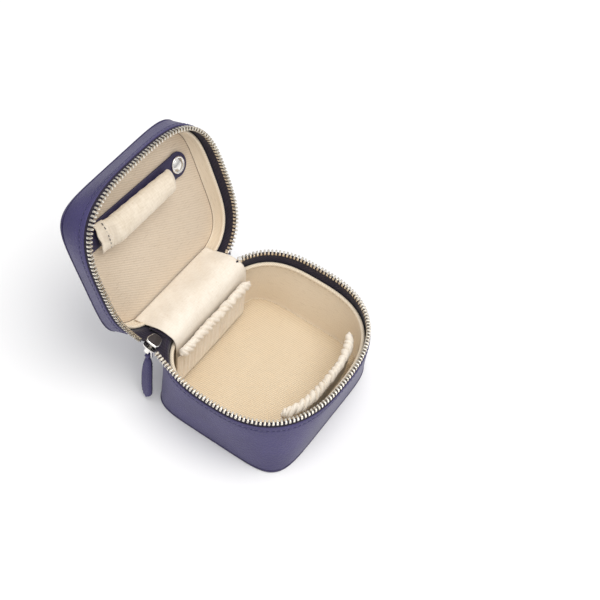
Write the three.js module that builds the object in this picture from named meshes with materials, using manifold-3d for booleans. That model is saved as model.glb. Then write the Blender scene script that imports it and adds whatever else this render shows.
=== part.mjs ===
// A rounded-square leather jewellery case with a zip round three sides, standing open.
// Millimetres, +Z up. The origin is the centre of the base's underside, the hinge side is +Y,
// and the lid is built as if it were shut and then swung open about the hinge line.
import * as THREE from 'three';
import { mergeVertices } from 'three/addons/utils/BufferGeometryUtils.js';
import Module from 'manifold-3d';

const wasm = await Module();
wasm.setup();

const degrees = THREE.MathUtils.degToRad;

// ---- driving dimensions ----
const BOTTOM = { halfX: 45.4, halfY: 40.0, power: 6.2 }; // outline at the base's foot and the lid's crown
// Outer leather outlines at the two mouths. The hinge side (rear) is flatter than the front.
const BASE_RIM = { halfX: 50.9, front: { halfY: 46.2, power: 2.5 }, rear: { halfY: 43.6, power: 2.9 } };
const LID_RIM = { halfX: 49.6, front: { halfY: 45.0, power: 3.1 }, rear: { halfY: 43.8, power: 3.1 } };
const BASE_EDGE_Z = 39.5; // top edge of the base's leather
const SEAM_Z = 42.2; // centre of the base's row of teeth
const TOOTH_HALF_HEIGHT = 1.1;
const ROW_GAP = 0.3; // between the two rows when the lid is down and not zipped
const EDGE_TO_ROW = SEAM_Z - BASE_EDGE_Z;
const LID_SEAM_Z = SEAM_Z + 2 * TOOTH_HALF_HEIGHT + ROW_GAP;
const LID_EDGE_Z = LID_SEAM_Z + EDGE_TO_ROW;
const LID_DEPTH = 15.4; // lid's leather edge to its crown
const LID_TOP_Z = LID_EDGE_Z + LID_DEPTH;
const OPEN_ANGLE = degrees(113.95);
const HINGE_Y = 41.2;
const HINGE_Z = 38.45;
const GAP = 0.3; // clearance between touching pieces
const SKIVED = 0.8; // the bands' leather is pared to this
const BOARD = 1.0;
const LINING = 0.7;
const STATIONS = 48; // corners of an outline
const TOOTH_PITCH = 2.0;

// ---- materials ----
const surface = (color, roughness, metalness = 0) =>
  new THREE.MeshStandardMaterial({ color, roughness, metalness });
const leather = () => surface(0x4a4686, 0.55);
const liningCloth = () => surface(0xd9c8a8, 0.95);
const pocketCloth = () => surface(0xf0e6d2, 0.95);
const board = () => surface(0x8c8578, 0.9);
const tapeCloth = () => surface(0x1d1a30, 0.9);
const nickel = () => surface(0xc9c5bd, 0.25, 1);
const gunmetal = () => surface(0x55504f, 0.35, 1);
const elastic = () => surface(0xf4f1ea, 0.8);

// ---- outlines ----
const mix = (a, b, t) => a + (b - a) * t;

// Outline between the flat end (t = 0) and the mouth (t = 1), set in by `inset`.
function outlinePoint(rim, t, inset, phi) {
  const side = Math.sin(phi) > 0 ? rim.rear : rim.front;
  const halfX = mix(BOTTOM.halfX, rim.halfX, t) - inset;
  const halfY = mix(BOTTOM.halfY, side.halfY, t) - inset;
  const power = 1 / mix(1 / BOTTOM.power, 1 / side.power, t);
  const c = Math.abs(Math.cos(phi)) / halfX;
  const s = Math.abs(Math.sin(phi)) / halfY;
  const radius = (c ** power + s ** power) ** (-1 / power);
  return new THREE.Vector2(radius * Math.cos(phi), radius * Math.sin(phi));
}

// A wall's `share` says how far a height is from the flat end towards the mouth, and every
// layer of the wall has corners at its `levels`, so that the layers stay parallel.
const baseWall = {
  rim: BASE_RIM,
  share: (z) => Math.min(1, Math.max(0, z / BASE_EDGE_Z)),
  levels: [4, 10, 17, 25, 32],
};
const lidWall = {
  rim: LID_RIM,
  share: (z) => Math.min(1, Math.max(0, (LID_TOP_Z - z) / LID_DEPTH)),
  levels: [LID_EDGE_Z + 3.2, LID_EDGE_Z + 9],
};

// Section corners up (or down) one face of a wall, from one height to the other.
function face(wall, inset, from, to) {
  const between = wall.levels.filter((z) => (z - from) * (z - to) < -0.01);
  if (from > to) between.reverse();
  return [from, ...between, to].map((z) => [inset, z]);
}

function wallPoint(wall, inset, z, phi) {
  const flat = outlinePoint(wall.rim, wall.share(z), inset, phi);
  return new THREE.Vector3(flat.x, flat.y, z);
}

// ---- solids ----
function meshFrom(points, faces, name, material) {
  const geometry = new THREE.BufferGeometry();
  geometry.setAttribute('position', new THREE.Float32BufferAttribute(points.flatMap((p) => p.toArray()), 3));
  geometry.setIndex(faces);
  const mesh = new THREE.Mesh(geometry, material);
  mesh.name = name;
  return mesh;
}

function named(geometry, name, material) {
  const mesh = new THREE.Mesh(geometry, material);
  mesh.name = name;
  return mesh;
}

function signedVolume(points, faces) {
  let volume = 0;
  for (let i = 0; i < faces.length; i += 3) {
    const [a, b, c] = [points[faces[i]], points[faces[i + 1]], points[faces[i + 2]]];
    volume += a.dot(new THREE.Vector3().crossVectors(b, c)) / 6;
  }
  return volume;
}

// Triangles that fill a flat shape, each turning the same way as its outline.
function flatCap(outline) {
  const turn = Math.sign(THREE.ShapeUtils.area(outline));
  return THREE.ShapeUtils.triangulateShape([...outline], []).map(([a, b, c]) => {
    const same = Math.sign(THREE.ShapeUtils.area([outline[a], outline[b], outline[c]])) === turn;
    return same ? [a, b, c] : [a, c, b];
  });
}

// Joins equal-length rings of points into a solid. A closed loop joins its last ring to its first.
// Otherwise the end rings are capped, using `flatRing`, the 2-D shape of an end.
function loft(rings, name, material, { loop = false, flatRing = null } = {}) {
  const count = rings[0].length;
  const points = rings.flat();
  const faces = [];
  const spans = loop ? rings.length : rings.length - 1;
  for (let i = 0; i < spans; i++) {
    const here = i * count;
    const next = ((i + 1) % rings.length) * count;
    for (let j = 0; j < count; j++) {
      const k = (j + 1) % count;
      faces.push(here + j, next + j, next + k, here + j, next + k, here + k);
    }
  }
  if (!loop) {
    const last = (rings.length - 1) * count;
    const cap = flatRing ? flatCap(flatRing) : Array.from({ length: count - 2 }, (_, i) => [0, i + 1, i + 2]);
    for (const [a, b, c] of cap) {
      faces.push(a, b, c);
      faces.push(last + a, last + c, last + b);
    }
  }
  if (signedVolume(points, faces) < 0) {
    for (let i = 0; i < faces.length; i += 3) {
      [faces[i + 1], faces[i + 2]] = [faces[i + 2], faces[i + 1]];
    }
  }
  return meshFrom(points, faces, name, material);
}

// Directions right round the case, closer together at its four corners.
const CROWDING = 0.4;
const fullTurn = Array.from({ length: STATIONS }, (_, i) => {
  const even = (i / STATIONS) * 2 * Math.PI;
  return even + (CROWDING / 4) * Math.sin(4 * even);
});

// A wall right round the case. `profile` lists [inset, z] corners of its section.
function wallRing(wall, profile, name, material) {
  const rings = fullTurn.map((phi) => profile.map(([inset, z]) => wallPoint(wall, inset, z, phi)));
  return loft(rings, name, material, { loop: true });
}

// A wall along part of the way round, between two angles.
function wallArc(wall, profile, from, to, steps, name, material) {
  const rings = [];
  for (let i = 0; i <= steps; i++) {
    const phi = mix(from, to, i / steps);
    rings.push(profile.map(([inset, z]) => wallPoint(wall, inset, z, phi)));
  }
  const flatRing = profile.map(([inset, z]) => new THREE.Vector2(inset, z));
  return loft(rings, name, material, { flatRing });
}

// A flat panel filling the outline between two heights. `layers` lists [inset, z].
function panel(wall, layers, name, material) {
  const rings = layers.map(([inset, z]) => fullTurn.map((phi) => wallPoint(wall, inset, z, phi)));
  return loft(rings, name, material);
}

function toManifold(geometry) {
  const bare = geometry.clone();
  bare.deleteAttribute('normal');
  bare.deleteAttribute('uv');
  const merged = mergeVertices(bare, 1e-4);
  return new wasm.Manifold(new wasm.Mesh({
    numProp: 3,
    vertProperties: new Float32Array(merged.attributes.position.array),
    triVerts: new Uint32Array(merged.index.array),
  }));
}

function fromManifold(solid) {
  const { vertProperties, triVerts } = solid.getMesh();
  const geometry = new THREE.BufferGeometry();
  geometry.setAttribute('position', new THREE.BufferAttribute(vertProperties, 3));
  geometry.setIndex(new THREE.BufferAttribute(triVerts, 1));
  return geometry;
}

function join(geometries) {
  return fromManifold(geometries.map(toManifold).reduce((whole, piece) => whole.add(piece)));
}

function cut(geometry, tool) {
  return fromManifold(toManifold(geometry).subtract(toManifold(tool)));
}

function extrude(shape, depth, curveSegments = 8) {
  return new THREE.ExtrudeGeometry(shape, { depth, bevelEnabled: false, curveSegments });
}

function shapeFrom(corners) {
  return new THREE.Shape(corners.map(([x, y]) => new THREE.Vector2(x, y)));
}

// A strip of even thickness along a bent line in the YZ plane. `lineAt` gives the line at each
// place across, because the case's rear edges are bowed.
function bentStrip(lineAt, thickness, across, name, material) {
  const section = (x) => {
    const line = lineAt(x).map(([y, z]) => new THREE.Vector3(y, z, 0));
    const curve = new THREE.CatmullRomCurve3(line, false, 'centripetal');
    const steps = 3 * (line.length - 1);
    const left = [];
    const right = [];
    for (let i = 0; i <= steps; i++) {
      const at = curve.getPoint(i / steps);
      const along = curve.getTangent(i / steps).multiplyScalar(thickness / 2);
      left.push(new THREE.Vector2(at.x - along.y, at.y + along.x));
      right.unshift(new THREE.Vector2(at.x + along.y, at.y - along.x));
    }
    return [...left, ...right];
  };
  const rings = across.map((x) => section(x).map((p) => new THREE.Vector3(x, p.x, p.y)));
  return loft(rings, name, material, { flatRing: section(across[0]) });
}

// Where a point of the shut lid, in the YZ plane, goes when the lid stands open.
function opened([y, z]) {
  const dy = y - HINGE_Y;
  const dz = z - HINGE_Z;
  const c = Math.cos(OPEN_ANGLE);
  const s = Math.sin(OPEN_ANGLE);
  return [HINGE_Y + dy * c + dz * s, HINGE_Z - dy * s + dz * c];
}

// How far back a wall's layer stands at a place across and a height.
function rearDepth(wall, inset, z, x) {
  const t = wall.share(z);
  const halfX = mix(BOTTOM.halfX, wall.rim.halfX, t) - inset;
  const halfY = mix(BOTTOM.halfY, wall.rim.rear.halfY, t) - inset;
  const power = 1 / mix(1 / BOTTOM.power, 1 / wall.rim.rear.power, t);
  return halfY * (1 - Math.abs(x / halfX) ** power) ** (1 / power);
}

// ---- the zip's two rows ----
const BASE_ROW_INSET = 1.35; // row of teeth inside the outer leather outline
// Each row runs clockwise from the hinge's right-hand end, leaves the rounded rim at its left,
// and goes on to a tail beside the slider at the rear left corner.
const BASE_ROW = { rim: BASE_RIM, end: degrees(51), leaves: degrees(-197), tail: new THREE.Vector2(-43.2, 36.6) };
const LID_ROW = { rim: LID_RIM, end: degrees(48), leaves: degrees(-204), tail: new THREE.Vector2(-41.0, 35.7) };

function rowLine({ rim, end, leaves, tail }) {
  const points = [];
  const rimSteps = 120;
  for (let i = 0; i <= rimSteps; i++) {
    points.push(outlinePoint(rim, 1, BASE_ROW_INSET, mix(end, leaves, i / rimSteps)));
  }
  const leaving = points.at(-1);
  const along = leaving.clone().sub(points.at(-2)).normalize();
  const bend = leaving.clone().addScaledVector(along, leaving.distanceTo(tail) * 0.45);
  points.push(...new THREE.QuadraticBezierCurve(leaving, bend, tail).getPoints(24).slice(1));
  return points;
}

// Splits a plan line into equal steps, and gives each step's place and outward normal.
function evenly(row, step) {
  const corners = rowLine(row).map((p) => new THREE.Vector3(p.x, p.y, 0));
  const line = new THREE.CatmullRomCurve3(corners, false, 'chordal');
  line.arcLengthDivisions = 800;
  const count = Math.round(line.getLength() / step);
  return Array.from({ length: count + 1 }, (_, i) => {
    const at = line.getPointAt(i / count);
    const along = line.getTangentAt(i / count);
    return { at: new THREE.Vector2(at.x, at.y), out: new THREE.Vector2(-along.y, along.x) };
  });
}

function rowSolid(stations, section, name, material) {
  const rings = stations.map(({ at, out }, i) => section(i).map(([across, z]) =>
    new THREE.Vector3(at.x + out.x * across, at.y + out.y * across, z)));
  const flatRing = section(0).map(([across, z]) => new THREE.Vector2(across, z));
  return loft(rings, name, material, { flatRing });
}

// One row of teeth on its bead: the free edge rises and falls once for each tooth.
function zipRow(row, seamZ, towards, name) {
  const valley = 0.2;
  const halfThick = 1.15;
  const section = (i) => {
    const free = seamZ + towards * (i % 2 ? TOOTH_HALF_HEIGHT : valley);
    const root = seamZ - towards * TOOTH_HALF_HEIGHT;
    return [[-halfThick, root], [halfThick, root], [halfThick, free], [-halfThick, free]];
  };
  return rowSolid(evenly(row, TOOTH_PITCH / 2), section, name, nickel());
}

const TAPE = 0.5;
const SUNK = 3.2; // how far the tape goes down inside the leather
// The tape stands between the leather and the board's edge, leaning with the wall. Past the
// rounded rim it narrows to the strip that carries the row to the slider.
function zipTape(wall, row, seamZ, towards, name) {
  const rowRoot = seamZ - towards * (TOOTH_HALF_HEIGHT + GAP);
  const stations = evenly(row, 4);
  const corners = ({ at, out }) => {
    const free = at.x < 0 && at.y > 6;
    if (free) {
      const hem = seamZ - towards * (EDGE_TO_ROW - GAP);
      return [[-TAPE / 2, hem], [TAPE / 2, hem], [TAPE / 2, rowRoot], [-TAPE / 2, rowRoot]].map(([across, z]) =>
        new THREE.Vector3(at.x + out.x * across, at.y + out.y * across, z));
    }
    const hem = seamZ - towards * (EDGE_TO_ROW + SUNK);
    const phi = Math.atan2(at.y, at.x);
    return [[TAPE / 2, hem], [-TAPE / 2, hem], [-TAPE / 2, rowRoot], [TAPE / 2, rowRoot]].map(([inward, z]) =>
      wallPoint(wall, BASE_ROW_INSET + inward, z, phi));
  };
  return loft(stations.map(corners), name, tapeCloth());
}

// The metal clip that closes a row at the hinge's right-hand end.
function endStop(row, seamZ, name) {
  const clip = new THREE.BoxGeometry(2.0, 2.6, 2.6);
  const at = outlinePoint(row.rim, 1, BASE_ROW_INSET, row.end + degrees(2.4));
  const mesh = named(clip, name, nickel());
  mesh.position.set(at.x, at.y, seamZ);
  mesh.rotation.z = degrees(-36);
  return mesh;
}

// ---- base ----
const FLOOR_Z = 1.2;

function baseSideBand() {
  const low = FLOOR_Z + GAP;
  const profile = [
    [0.2, low], ...face(baseWall, 0, 2.4, BASE_EDGE_Z - 0.4),
    [0.3, BASE_EDGE_Z], ...face(baseWall, SKIVED, BASE_EDGE_Z, low),
  ];
  return wallRing(baseWall, profile, 'base_side_band', leather());
}

function baseBottomPanel() {
  return panel(baseWall, [[0.4, 0], [-0.2, 0.4], [-0.2, FLOOR_Z]], 'base_bottom_panel', leather());
}

const SHELL = SKIVED + 0.5; // inset of whatever stands just inside the leather
const BOARD_TOP = BASE_EDGE_Z - 5.5;

function baseSideBoard() {
  const low = FLOOR_Z + GAP;
  const profile = [...face(baseWall, SHELL, low, BOARD_TOP), ...face(baseWall, SHELL + BOARD, BOARD_TOP, low)];
  return wallRing(baseWall, profile, 'base_side_board', board());
}

const INSIDE = SHELL + BOARD + GAP; // inset of the lining's back
const FLOOR_BOARD_TOP = FLOOR_Z + GAP + 1.6;

function baseFloorBoard() {
  return panel(baseWall, [[INSIDE, FLOOR_Z + GAP], [INSIDE, FLOOR_BOARD_TOP]], 'base_floor_board', board());
}

function baseFloorPad() {
  const low = FLOOR_BOARD_TOP + GAP;
  const inset = INSIDE + LINING + GAP;
  return panel(baseWall, [[inset, low], [inset - 0.1, low + 1.2], [inset + 1.6, low + 2.2]], 'base_floor_pad', liningCloth());
}

const LINING_TOP = 35.6;
const LINING_ROLL = 0.8; // the lining's turned edge is this much thicker

function baseWallLining() {
  const low = FLOOR_BOARD_TOP + GAP;
  const inner = INSIDE + LINING;
  const profile = [
    ...face(baseWall, INSIDE, low, BOARD_TOP), [INSIDE + 0.2, LINING_TOP], [inner + LINING_ROLL, LINING_TOP],
    [inner + LINING_ROLL, LINING_TOP - 1.8], ...face(baseWall, inner, LINING_TOP - 2.4, low),
  ];
  return wallRing(baseWall, profile, 'base_wall_lining', liningCloth());
}

// Pockets are panels whose hem turns over a length of elastic; the hem stays open below the elastic.
const ELASTIC = 0.8;
const HEM_DROP = 4.4;

// Section of a pocket: distances in front of the panel's back face, and heights.
function hemSection(thickness, low, high) {
  const fold = thickness + 2 * (ELASTIC + GAP);
  const round = 0.8;
  return [
    [0, low], [0, high - round], [round, high], [fold + thickness - round, high],
    [fold + thickness, high - round], [fold + thickness, high - HEM_DROP],
    [fold, high - HEM_DROP], [fold, high - thickness], [thickness, high - thickness], [thickness, low],
  ];
}

const POCKET = 0.8; // pocket cloth, gathered
const POCKET_LOW = 6.0;
const POCKET_HIGH = 36.5;
const REAR_POCKET = { x0: -32, x1: 25, y: 32.2 }; // y of the panel's back face
const FRONT_POCKET = { inset: 7.2, halfSpan: degrees(46) };

function roundSection(cx, cy, radius, sides) {
  return Array.from({ length: sides }, (_, i) => {
    const a = (i / sides) * 2 * Math.PI;
    return [cx + radius * Math.cos(a), cy + radius * Math.sin(a)];
  });
}

function rearPocket() {
  const section = hemSection(POCKET, POCKET_LOW, POCKET_HIGH).map(([ahead, z]) => [REAR_POCKET.y - ahead, z]);
  const flatRing = section.map(([y, z]) => new THREE.Vector2(y, z));
  const ends = [REAR_POCKET.x0, REAR_POCKET.x1].map((x) => section.map(([y, z]) => new THREE.Vector3(x, y, z)));
  return loft(ends, 'rear_pocket', pocketCloth(), { flatRing });
}

const ELASTIC_Z = POCKET_HIGH - POCKET - GAP - ELASTIC;

function rearPocketElastic() {
  const middle = REAR_POCKET.y - POCKET - GAP - ELASTIC;
  const section = roundSection(middle, ELASTIC_Z, ELASTIC, 8);
  const ends = [REAR_POCKET.x0 + 0.5, REAR_POCKET.x1 - 0.5].map((x) =>
    section.map(([y, z]) => new THREE.Vector3(x, y, z)));
  return loft(ends, 'rear_pocket_elastic', elastic());
}

function frontArc(profile, halfSpan, name, material) {
  const middle = -Math.PI / 2;
  return wallArc(baseWall, profile, middle - halfSpan, middle + halfSpan, 14, name, material);
}

function frontPocket() {
  const section = hemSection(POCKET, POCKET_LOW, POCKET_HIGH);
  const profile = section.map(([ahead, z]) => [FRONT_POCKET.inset + ahead, z]);
  return frontArc(profile, FRONT_POCKET.halfSpan, 'front_pocket', pocketCloth());
}

function frontPocketElastic() {
  const middle = FRONT_POCKET.inset + POCKET + GAP + ELASTIC;
  return frontArc(roundSection(middle, ELASTIC_Z, ELASTIC, 8), FRONT_POCKET.halfSpan - 0.01, 'front_pocket_elastic', elastic());
}

// ---- hinge side ----
const SPINE = [-30, -24, -16, 0, 14, 21, 27]; // places across
const CLOTH = { x0: -30, x1: 27 };

// The leather strip that joins lid to base, folded over the base's rear edge as the lid leans back.
function hingeSpine() {
  const thickness = 0.7;
  const lineAt = (x) => {
    const inset = SKIVED + GAP + thickness / 2 + 0.05;
    const base = rearDepth(baseWall, inset, BASE_EDGE_Z, x);
    const crest = base + 1.4;
    const lidEdge = opened([rearDepth(lidWall, inset, LID_EDGE_Z, x), LID_EDGE_Z - 0.6]);
    const fall = [Math.max(crest + 1.2, lidEdge[0] - 0.6), mix(BASE_EDGE_Z, lidEdge[1], 0.4)];
    const sewn = LID_EDGE_Z + 3;
    return [
      [rearDepth(baseWall, inset, BASE_EDGE_Z - 3, x), BASE_EDGE_Z - 3], [base, BASE_EDGE_Z + 0.1],
      [crest, BASE_EDGE_Z + 1.9], fall, lidEdge, opened([rearDepth(lidWall, inset, sewn, x), sewn]),
    ];
  };
  return bentStrip(lineAt, thickness, SPINE, 'hinge_spine', leather());
}

// The smooth inner cloth from behind the rear pocket, over the hinge and up to the lid's inner panel.
function hingeCloth() {
  const lineAt = () => [
    [33.6, 6], [34.2, 22], [34.2, 34], [35.9, 39.8], [39.6, 42.6], [44.6, 43.0], [50.0, 41.2], [55.4, 38.7], [59.4, 36.6],
  ];
  return bentStrip(lineAt, 0.7, [CLOTH.x0, CLOTH.x1], 'hinge_cloth', pocketCloth());
}

// ---- zip slider and pull, in the slider's own axes ----
// u runs out of the slider's mouth, v across it towards the base's row, w towards the inside.
const SLIDER = {
  at: new THREE.Vector3(-37.1, 43.7, 38.4),
  u: new THREE.Vector3(-0.95, -0.135, 0.281).normalize(),
  v: new THREE.Vector3(0.049, -0.954, -0.295).normalize(),
};
const PLATE = { inner: 1.7, thick: 0.9, back: 3.7, mouth: 3.7, halfBack: 2.9, halfMouth: 3.8 };

function sliderAxes() {
  const w = new THREE.Vector3().crossVectors(SLIDER.u, SLIDER.v);
  return { w, v: new THREE.Vector3().crossVectors(w, SLIDER.u) };
}

function sliderPlate(low) {
  const { back, mouth, halfBack, halfMouth } = PLATE;
  const shape = shapeFrom([
    [-back, -halfBack + 0.9], [-back + 0.9, -halfBack], [0, -halfBack - 0.3], [1.4, -halfMouth],
    [mouth - 0.9, -halfMouth], [mouth, -halfMouth + 1], [mouth - 0.2, 0], [mouth, halfMouth - 1],
    [mouth - 0.9, halfMouth], [1.4, halfMouth], [0, halfBack + 0.3], [-back + 0.9, halfBack], [-back, halfBack - 0.9],
  ]);
  return extrude(shape, PLATE.thick).translate(0, 0, low);
}

function box(x0, x1, y0, y1, z0, z1) {
  return new THREE.BoxGeometry(x1 - x0, y1 - y0, z1 - z0)
    .translate((x0 + x1) / 2, (y0 + y1) / 2, (z0 + z1) / 2);
}

const BAIL = { halfWidth: 0.9, rise: 2.2, thick: 0.8 };

function sliderBody() {
  const { inner, thick, back, halfBack } = PLATE;
  const lip = inner - 0.9;
  const pieces = [sliderPlate(inner), sliderPlate(-inner - thick), box(1.2, 2.8, -0.7, 0.7, -inner - 0.1, inner + 0.1)];
  for (const side of [-1, 1]) {
    const edges = [side * (halfBack - 0.7), side * (halfBack + 0.1)].sort((a, b) => a - b);
    pieces.push(box(-back + 0.6, -0.2, ...edges, lip, inner + 0.1));
    pieces.push(box(-back + 0.6, -0.2, ...edges, -inner - 0.1, -lip));
  }
  const outside = -inner - thick;
  const bridge = outside - BAIL.rise;
  pieces.push(box(-2.9, -2.0, -BAIL.halfWidth, BAIL.halfWidth, bridge - BAIL.thick, outside + 0.1));
  pieces.push(box(2.2, 3.1, -BAIL.halfWidth, BAIL.halfWidth, bridge - BAIL.thick, outside + 0.1));
  pieces.push(box(-2.9, 3.1, -BAIL.halfWidth, BAIL.halfWidth, bridge - BAIL.thick, bridge));
  const mesh = named(join(pieces), 'slider_body', gunmetal());
  const { v, w } = sliderAxes();
  mesh.quaternion.setFromRotationMatrix(new THREE.Matrix4().makeBasis(SLIDER.u, v, w));
  mesh.position.copy(SLIDER.at);
  return mesh;
}

// The link passes under the bail and hangs straight down; the leather tab folds round its foot.
const LINK = { wire: 0.5, halfWidth: 2.2, drop: 6.0, alongBail: 1.2, belowPlates: 4.05 };
const PULL_AT = SLIDER.at.clone() // middle of the link's top bar, resting in the bail
  .addScaledVector(SLIDER.u, LINK.alongBail).addScaledVector(sliderAxes().w, -LINK.belowPlates);
const PULL_TURN = degrees(78); // the link's plane, about the vertical
const TAB_LEAN = { forward: degrees(9), aside: degrees(9) };

function pullLink() {
  const { halfWidth, drop } = LINK;
  const radius = 1.0;
  const shape = new THREE.Shape();
  shape.moveTo(0, 0);
  shape.lineTo(halfWidth - radius, 0);
  shape.quadraticCurveTo(halfWidth, 0, halfWidth, -radius);
  shape.lineTo(halfWidth, -drop + radius);
  shape.quadraticCurveTo(halfWidth, -drop, halfWidth - radius, -drop);
  shape.lineTo(-halfWidth + radius, -drop);
  shape.quadraticCurveTo(-halfWidth, -drop, -halfWidth, -drop + radius);
  shape.lineTo(-halfWidth, -radius);
  shape.quadraticCurveTo(-halfWidth, 0, -halfWidth + radius, 0);
  const loopPoints = shape.getPoints(4);
  if (loopPoints[0].distanceTo(loopPoints.at(-1)) < 1e-6) loopPoints.pop();
  const rings = loopPoints.map((p, i) => {
    const before = loopPoints[(i + loopPoints.length - 1) % loopPoints.length];
    const after = loopPoints[(i + 1) % loopPoints.length];
    const along = after.clone().sub(before).normalize();
    const side = new THREE.Vector2(along.y, -along.x);
    return roundSection(0, 0, LINK.wire, 6).map(([a, b]) => new THREE.Vector3(p.x + side.x * a, b, p.y + side.y * a));
  });
  const mesh = loft(rings, 'pull_link', nickel(), { loop: true });
  mesh.position.copy(PULL_AT);
  mesh.rotation.z = PULL_TURN;
  return mesh;
}

const TAB = { halfWidth: 3.1, halfNeck: 1.15, thick: 1.0, length: 25.0 };

// Two layers of leather in one folded, stitched tab; its eye goes round the link's foot.
function pullTab() {
  const { halfWidth, halfNeck, thick, length } = TAB;
  const outline = shapeFrom([
    [-halfNeck, 0], [-halfNeck, -2], [-halfWidth + 0.3, -7], [-halfWidth, -12], [-halfWidth + 0.2, -20],
    [-halfWidth + 1.0, -length + 2.6], [-1.4, -length + 0.5], [0, -length], [1.4, -length + 0.5],
    [halfWidth - 1.0, -length + 2.6], [halfWidth - 0.2, -20], [halfWidth, -12], [halfWidth - 0.3, -7],
    [halfNeck, -2], [halfNeck, 0],
  ]);
  const standing = extrude(outline, 2 * thick).translate(0, 0, -thick);
  standing.rotateX(Math.PI / 2);
  const eyeRadius = LINK.wire + GAP;
  const eye = extrude(shapeFrom(roundSection(0, 0, eyeRadius + thick, 14)), 2 * halfNeck);
  eye.rotateY(Math.PI / 2).translate(-halfNeck, 0, 0);
  const hole = extrude(shapeFrom(roundSection(0, 0, eyeRadius, 12)), 4 * halfNeck);
  hole.rotateY(Math.PI / 2).translate(-2 * halfNeck, 0, 0);
  standing.translate(0, 0, -eyeRadius - 0.4);
  const mesh = named(cut(join([standing, eye]), hole), 'pull_tab', leather());
  mesh.position.copy(PULL_AT).add(new THREE.Vector3(0, 0, -LINK.drop));
  mesh.rotation.set(0, 0, PULL_TURN);
  mesh.rotateX(TAB_LEAN.aside);
  mesh.rotateY(TAB_LEAN.forward);
  return mesh;
}

// ---- lid, built shut ----
const CROWN_LOW = LID_TOP_Z - 1.3;

function lidSideBand() {
  const high = CROWN_LOW - GAP;
  const profile = [
    [0.2, high], ...face(lidWall, 0, high - 0.8, LID_EDGE_Z + 0.4),
    [0.3, LID_EDGE_Z], ...face(lidWall, SKIVED, LID_EDGE_Z, high),
  ];
  return wallRing(lidWall, profile, 'lid_side_band', leather());
}

function lidTopPanel() {
  return panel(lidWall, [[-0.3, CROWN_LOW], [-0.3, LID_TOP_Z - 0.4], [0.4, LID_TOP_Z]], 'lid_top_panel', leather());
}

const LID_BOARD_LOW = CROWN_LOW - GAP - 1.6;

function lidTopBoard() {
  return panel(lidWall, [[INSIDE, LID_BOARD_LOW], [INSIDE, CROWN_LOW - GAP]], 'lid_top_board', board());
}

function lidSideBoard() {
  const low = LID_EDGE_Z + 5.5;
  const high = CROWN_LOW - GAP;
  const profile = [...face(lidWall, SHELL, low, high), ...face(lidWall, SHELL + BOARD, high, low)];
  return wallRing(lidWall, profile, 'lid_side_board', board());
}

const CEILING_LOW = LID_BOARD_LOW - GAP - 1.3;

function lidWallLining() {
  const top = LID_BOARD_LOW - GAP;
  const low = LID_EDGE_Z + 3.4;
  const inner = INSIDE + LINING;
  const profile = [
    ...face(lidWall, INSIDE, top, low + 2.2), [INSIDE + 0.2, low], [inner + 0.5, low], [inner + 0.5, low + 1.6],
    ...face(lidWall, inner, low + 2.2, top),
  ];
  return wallRing(lidWall, profile, 'lid_wall_lining', liningCloth());
}

// ---- ring bar in the lid ----
// The bar slants a little: `turn` is about its snap, which holds its right-hand end.
const BAR = { y: -17.0, turn: degrees(2.4), anchorX: -39.8, capX: 30, tipRadius: 6.6, halfWidth: 5.2, strap: 1.2 };
const STRAP_TOP = CEILING_LOW - 1.0;
const STRAP_LOW = STRAP_TOP - BAR.strap;
const ROLL = { x0: -33, x1: 21.5, halfY: 7.0, halfZ: 4.4 };
const SNAP = { cap: 6.1, stud: 3.1, shank: 1.2 };

function alongBar(geometry, low) {
  return geometry.translate(-BAR.capX, 0, low).rotateZ(BAR.turn).translate(BAR.capX, BAR.y, 0);
}

function disc(radius, low, high, sides = 20) {
  return new THREE.CylinderGeometry(radius, radius, high - low, sides)
    .rotateX(Math.PI / 2).translate(BAR.capX, BAR.y, (low + high) / 2);
}

function lidCeilingPanel() {
  const inset = INSIDE + LINING + GAP;
  const plain = panel(lidWall, [[inset, CEILING_LOW], [inset, LID_BOARD_LOW - GAP]], 'plain', liningCloth());
  const hole = disc(SNAP.shank + GAP, CEILING_LOW - 1, LID_TOP_Z, 12);
  return named(cut(plain.geometry, hole), 'lid_ceiling_panel', liningCloth());
}

// A fixed tab sewn to the lid's left wall; the strap hinges where the two are stitched.
function ringBarAnchor() {
  const shape = shapeFrom([[-41.7, -6], [-40.3, -6], [-40.3, 6], [-41.7, 6]]);
  const plate = alongBar(extrude(shape, 6), STRAP_LOW - 4.6);
  return named(plate, 'ring_bar_anchor', leather());
}

function ringBarStrap() {
  const { anchorX, capX, tipRadius, halfWidth, strap } = BAR;
  const shape = new THREE.Shape();
  shape.moveTo(anchorX, -halfWidth);
  shape.lineTo(capX - 6, -halfWidth);
  shape.absarc(capX, 0, tipRadius, -2.4, 2.4, false);
  shape.lineTo(anchorX, halfWidth);
  shape.closePath();
  const plate = alongBar(extrude(shape, strap, 8), STRAP_LOW);
  const hole = disc(SNAP.shank + GAP, STRAP_LOW - 1, STRAP_TOP + 1, 12);
  return named(cut(plate, hole), 'ring_bar_strap', leather());
}

// The padded roll that rings thread onto, lying on the strap.
function ringBarRoll() {
  const { x0, x1, halfY, halfZ } = ROLL;
  const top = STRAP_LOW - GAP;
  const ends = [[x0, 0.85], [x0 + 1.5, 1.1], [x1 - 1.5, 0.95], [x1, 0.75]];
  const rings = ends.map(([x, k]) => Array.from({ length: 16 }, (_, i) => {
    const a = (i / 16) * 2 * Math.PI;
    return new THREE.Vector3(x, halfY * k * Math.cos(a), halfZ * Math.min(k, 1) * (Math.sin(a) - 1));
  }));
  const roll = loft(rings, 'ring_bar_roll', pocketCloth());
  alongBar(roll.geometry, top);
  return roll;
}

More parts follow.
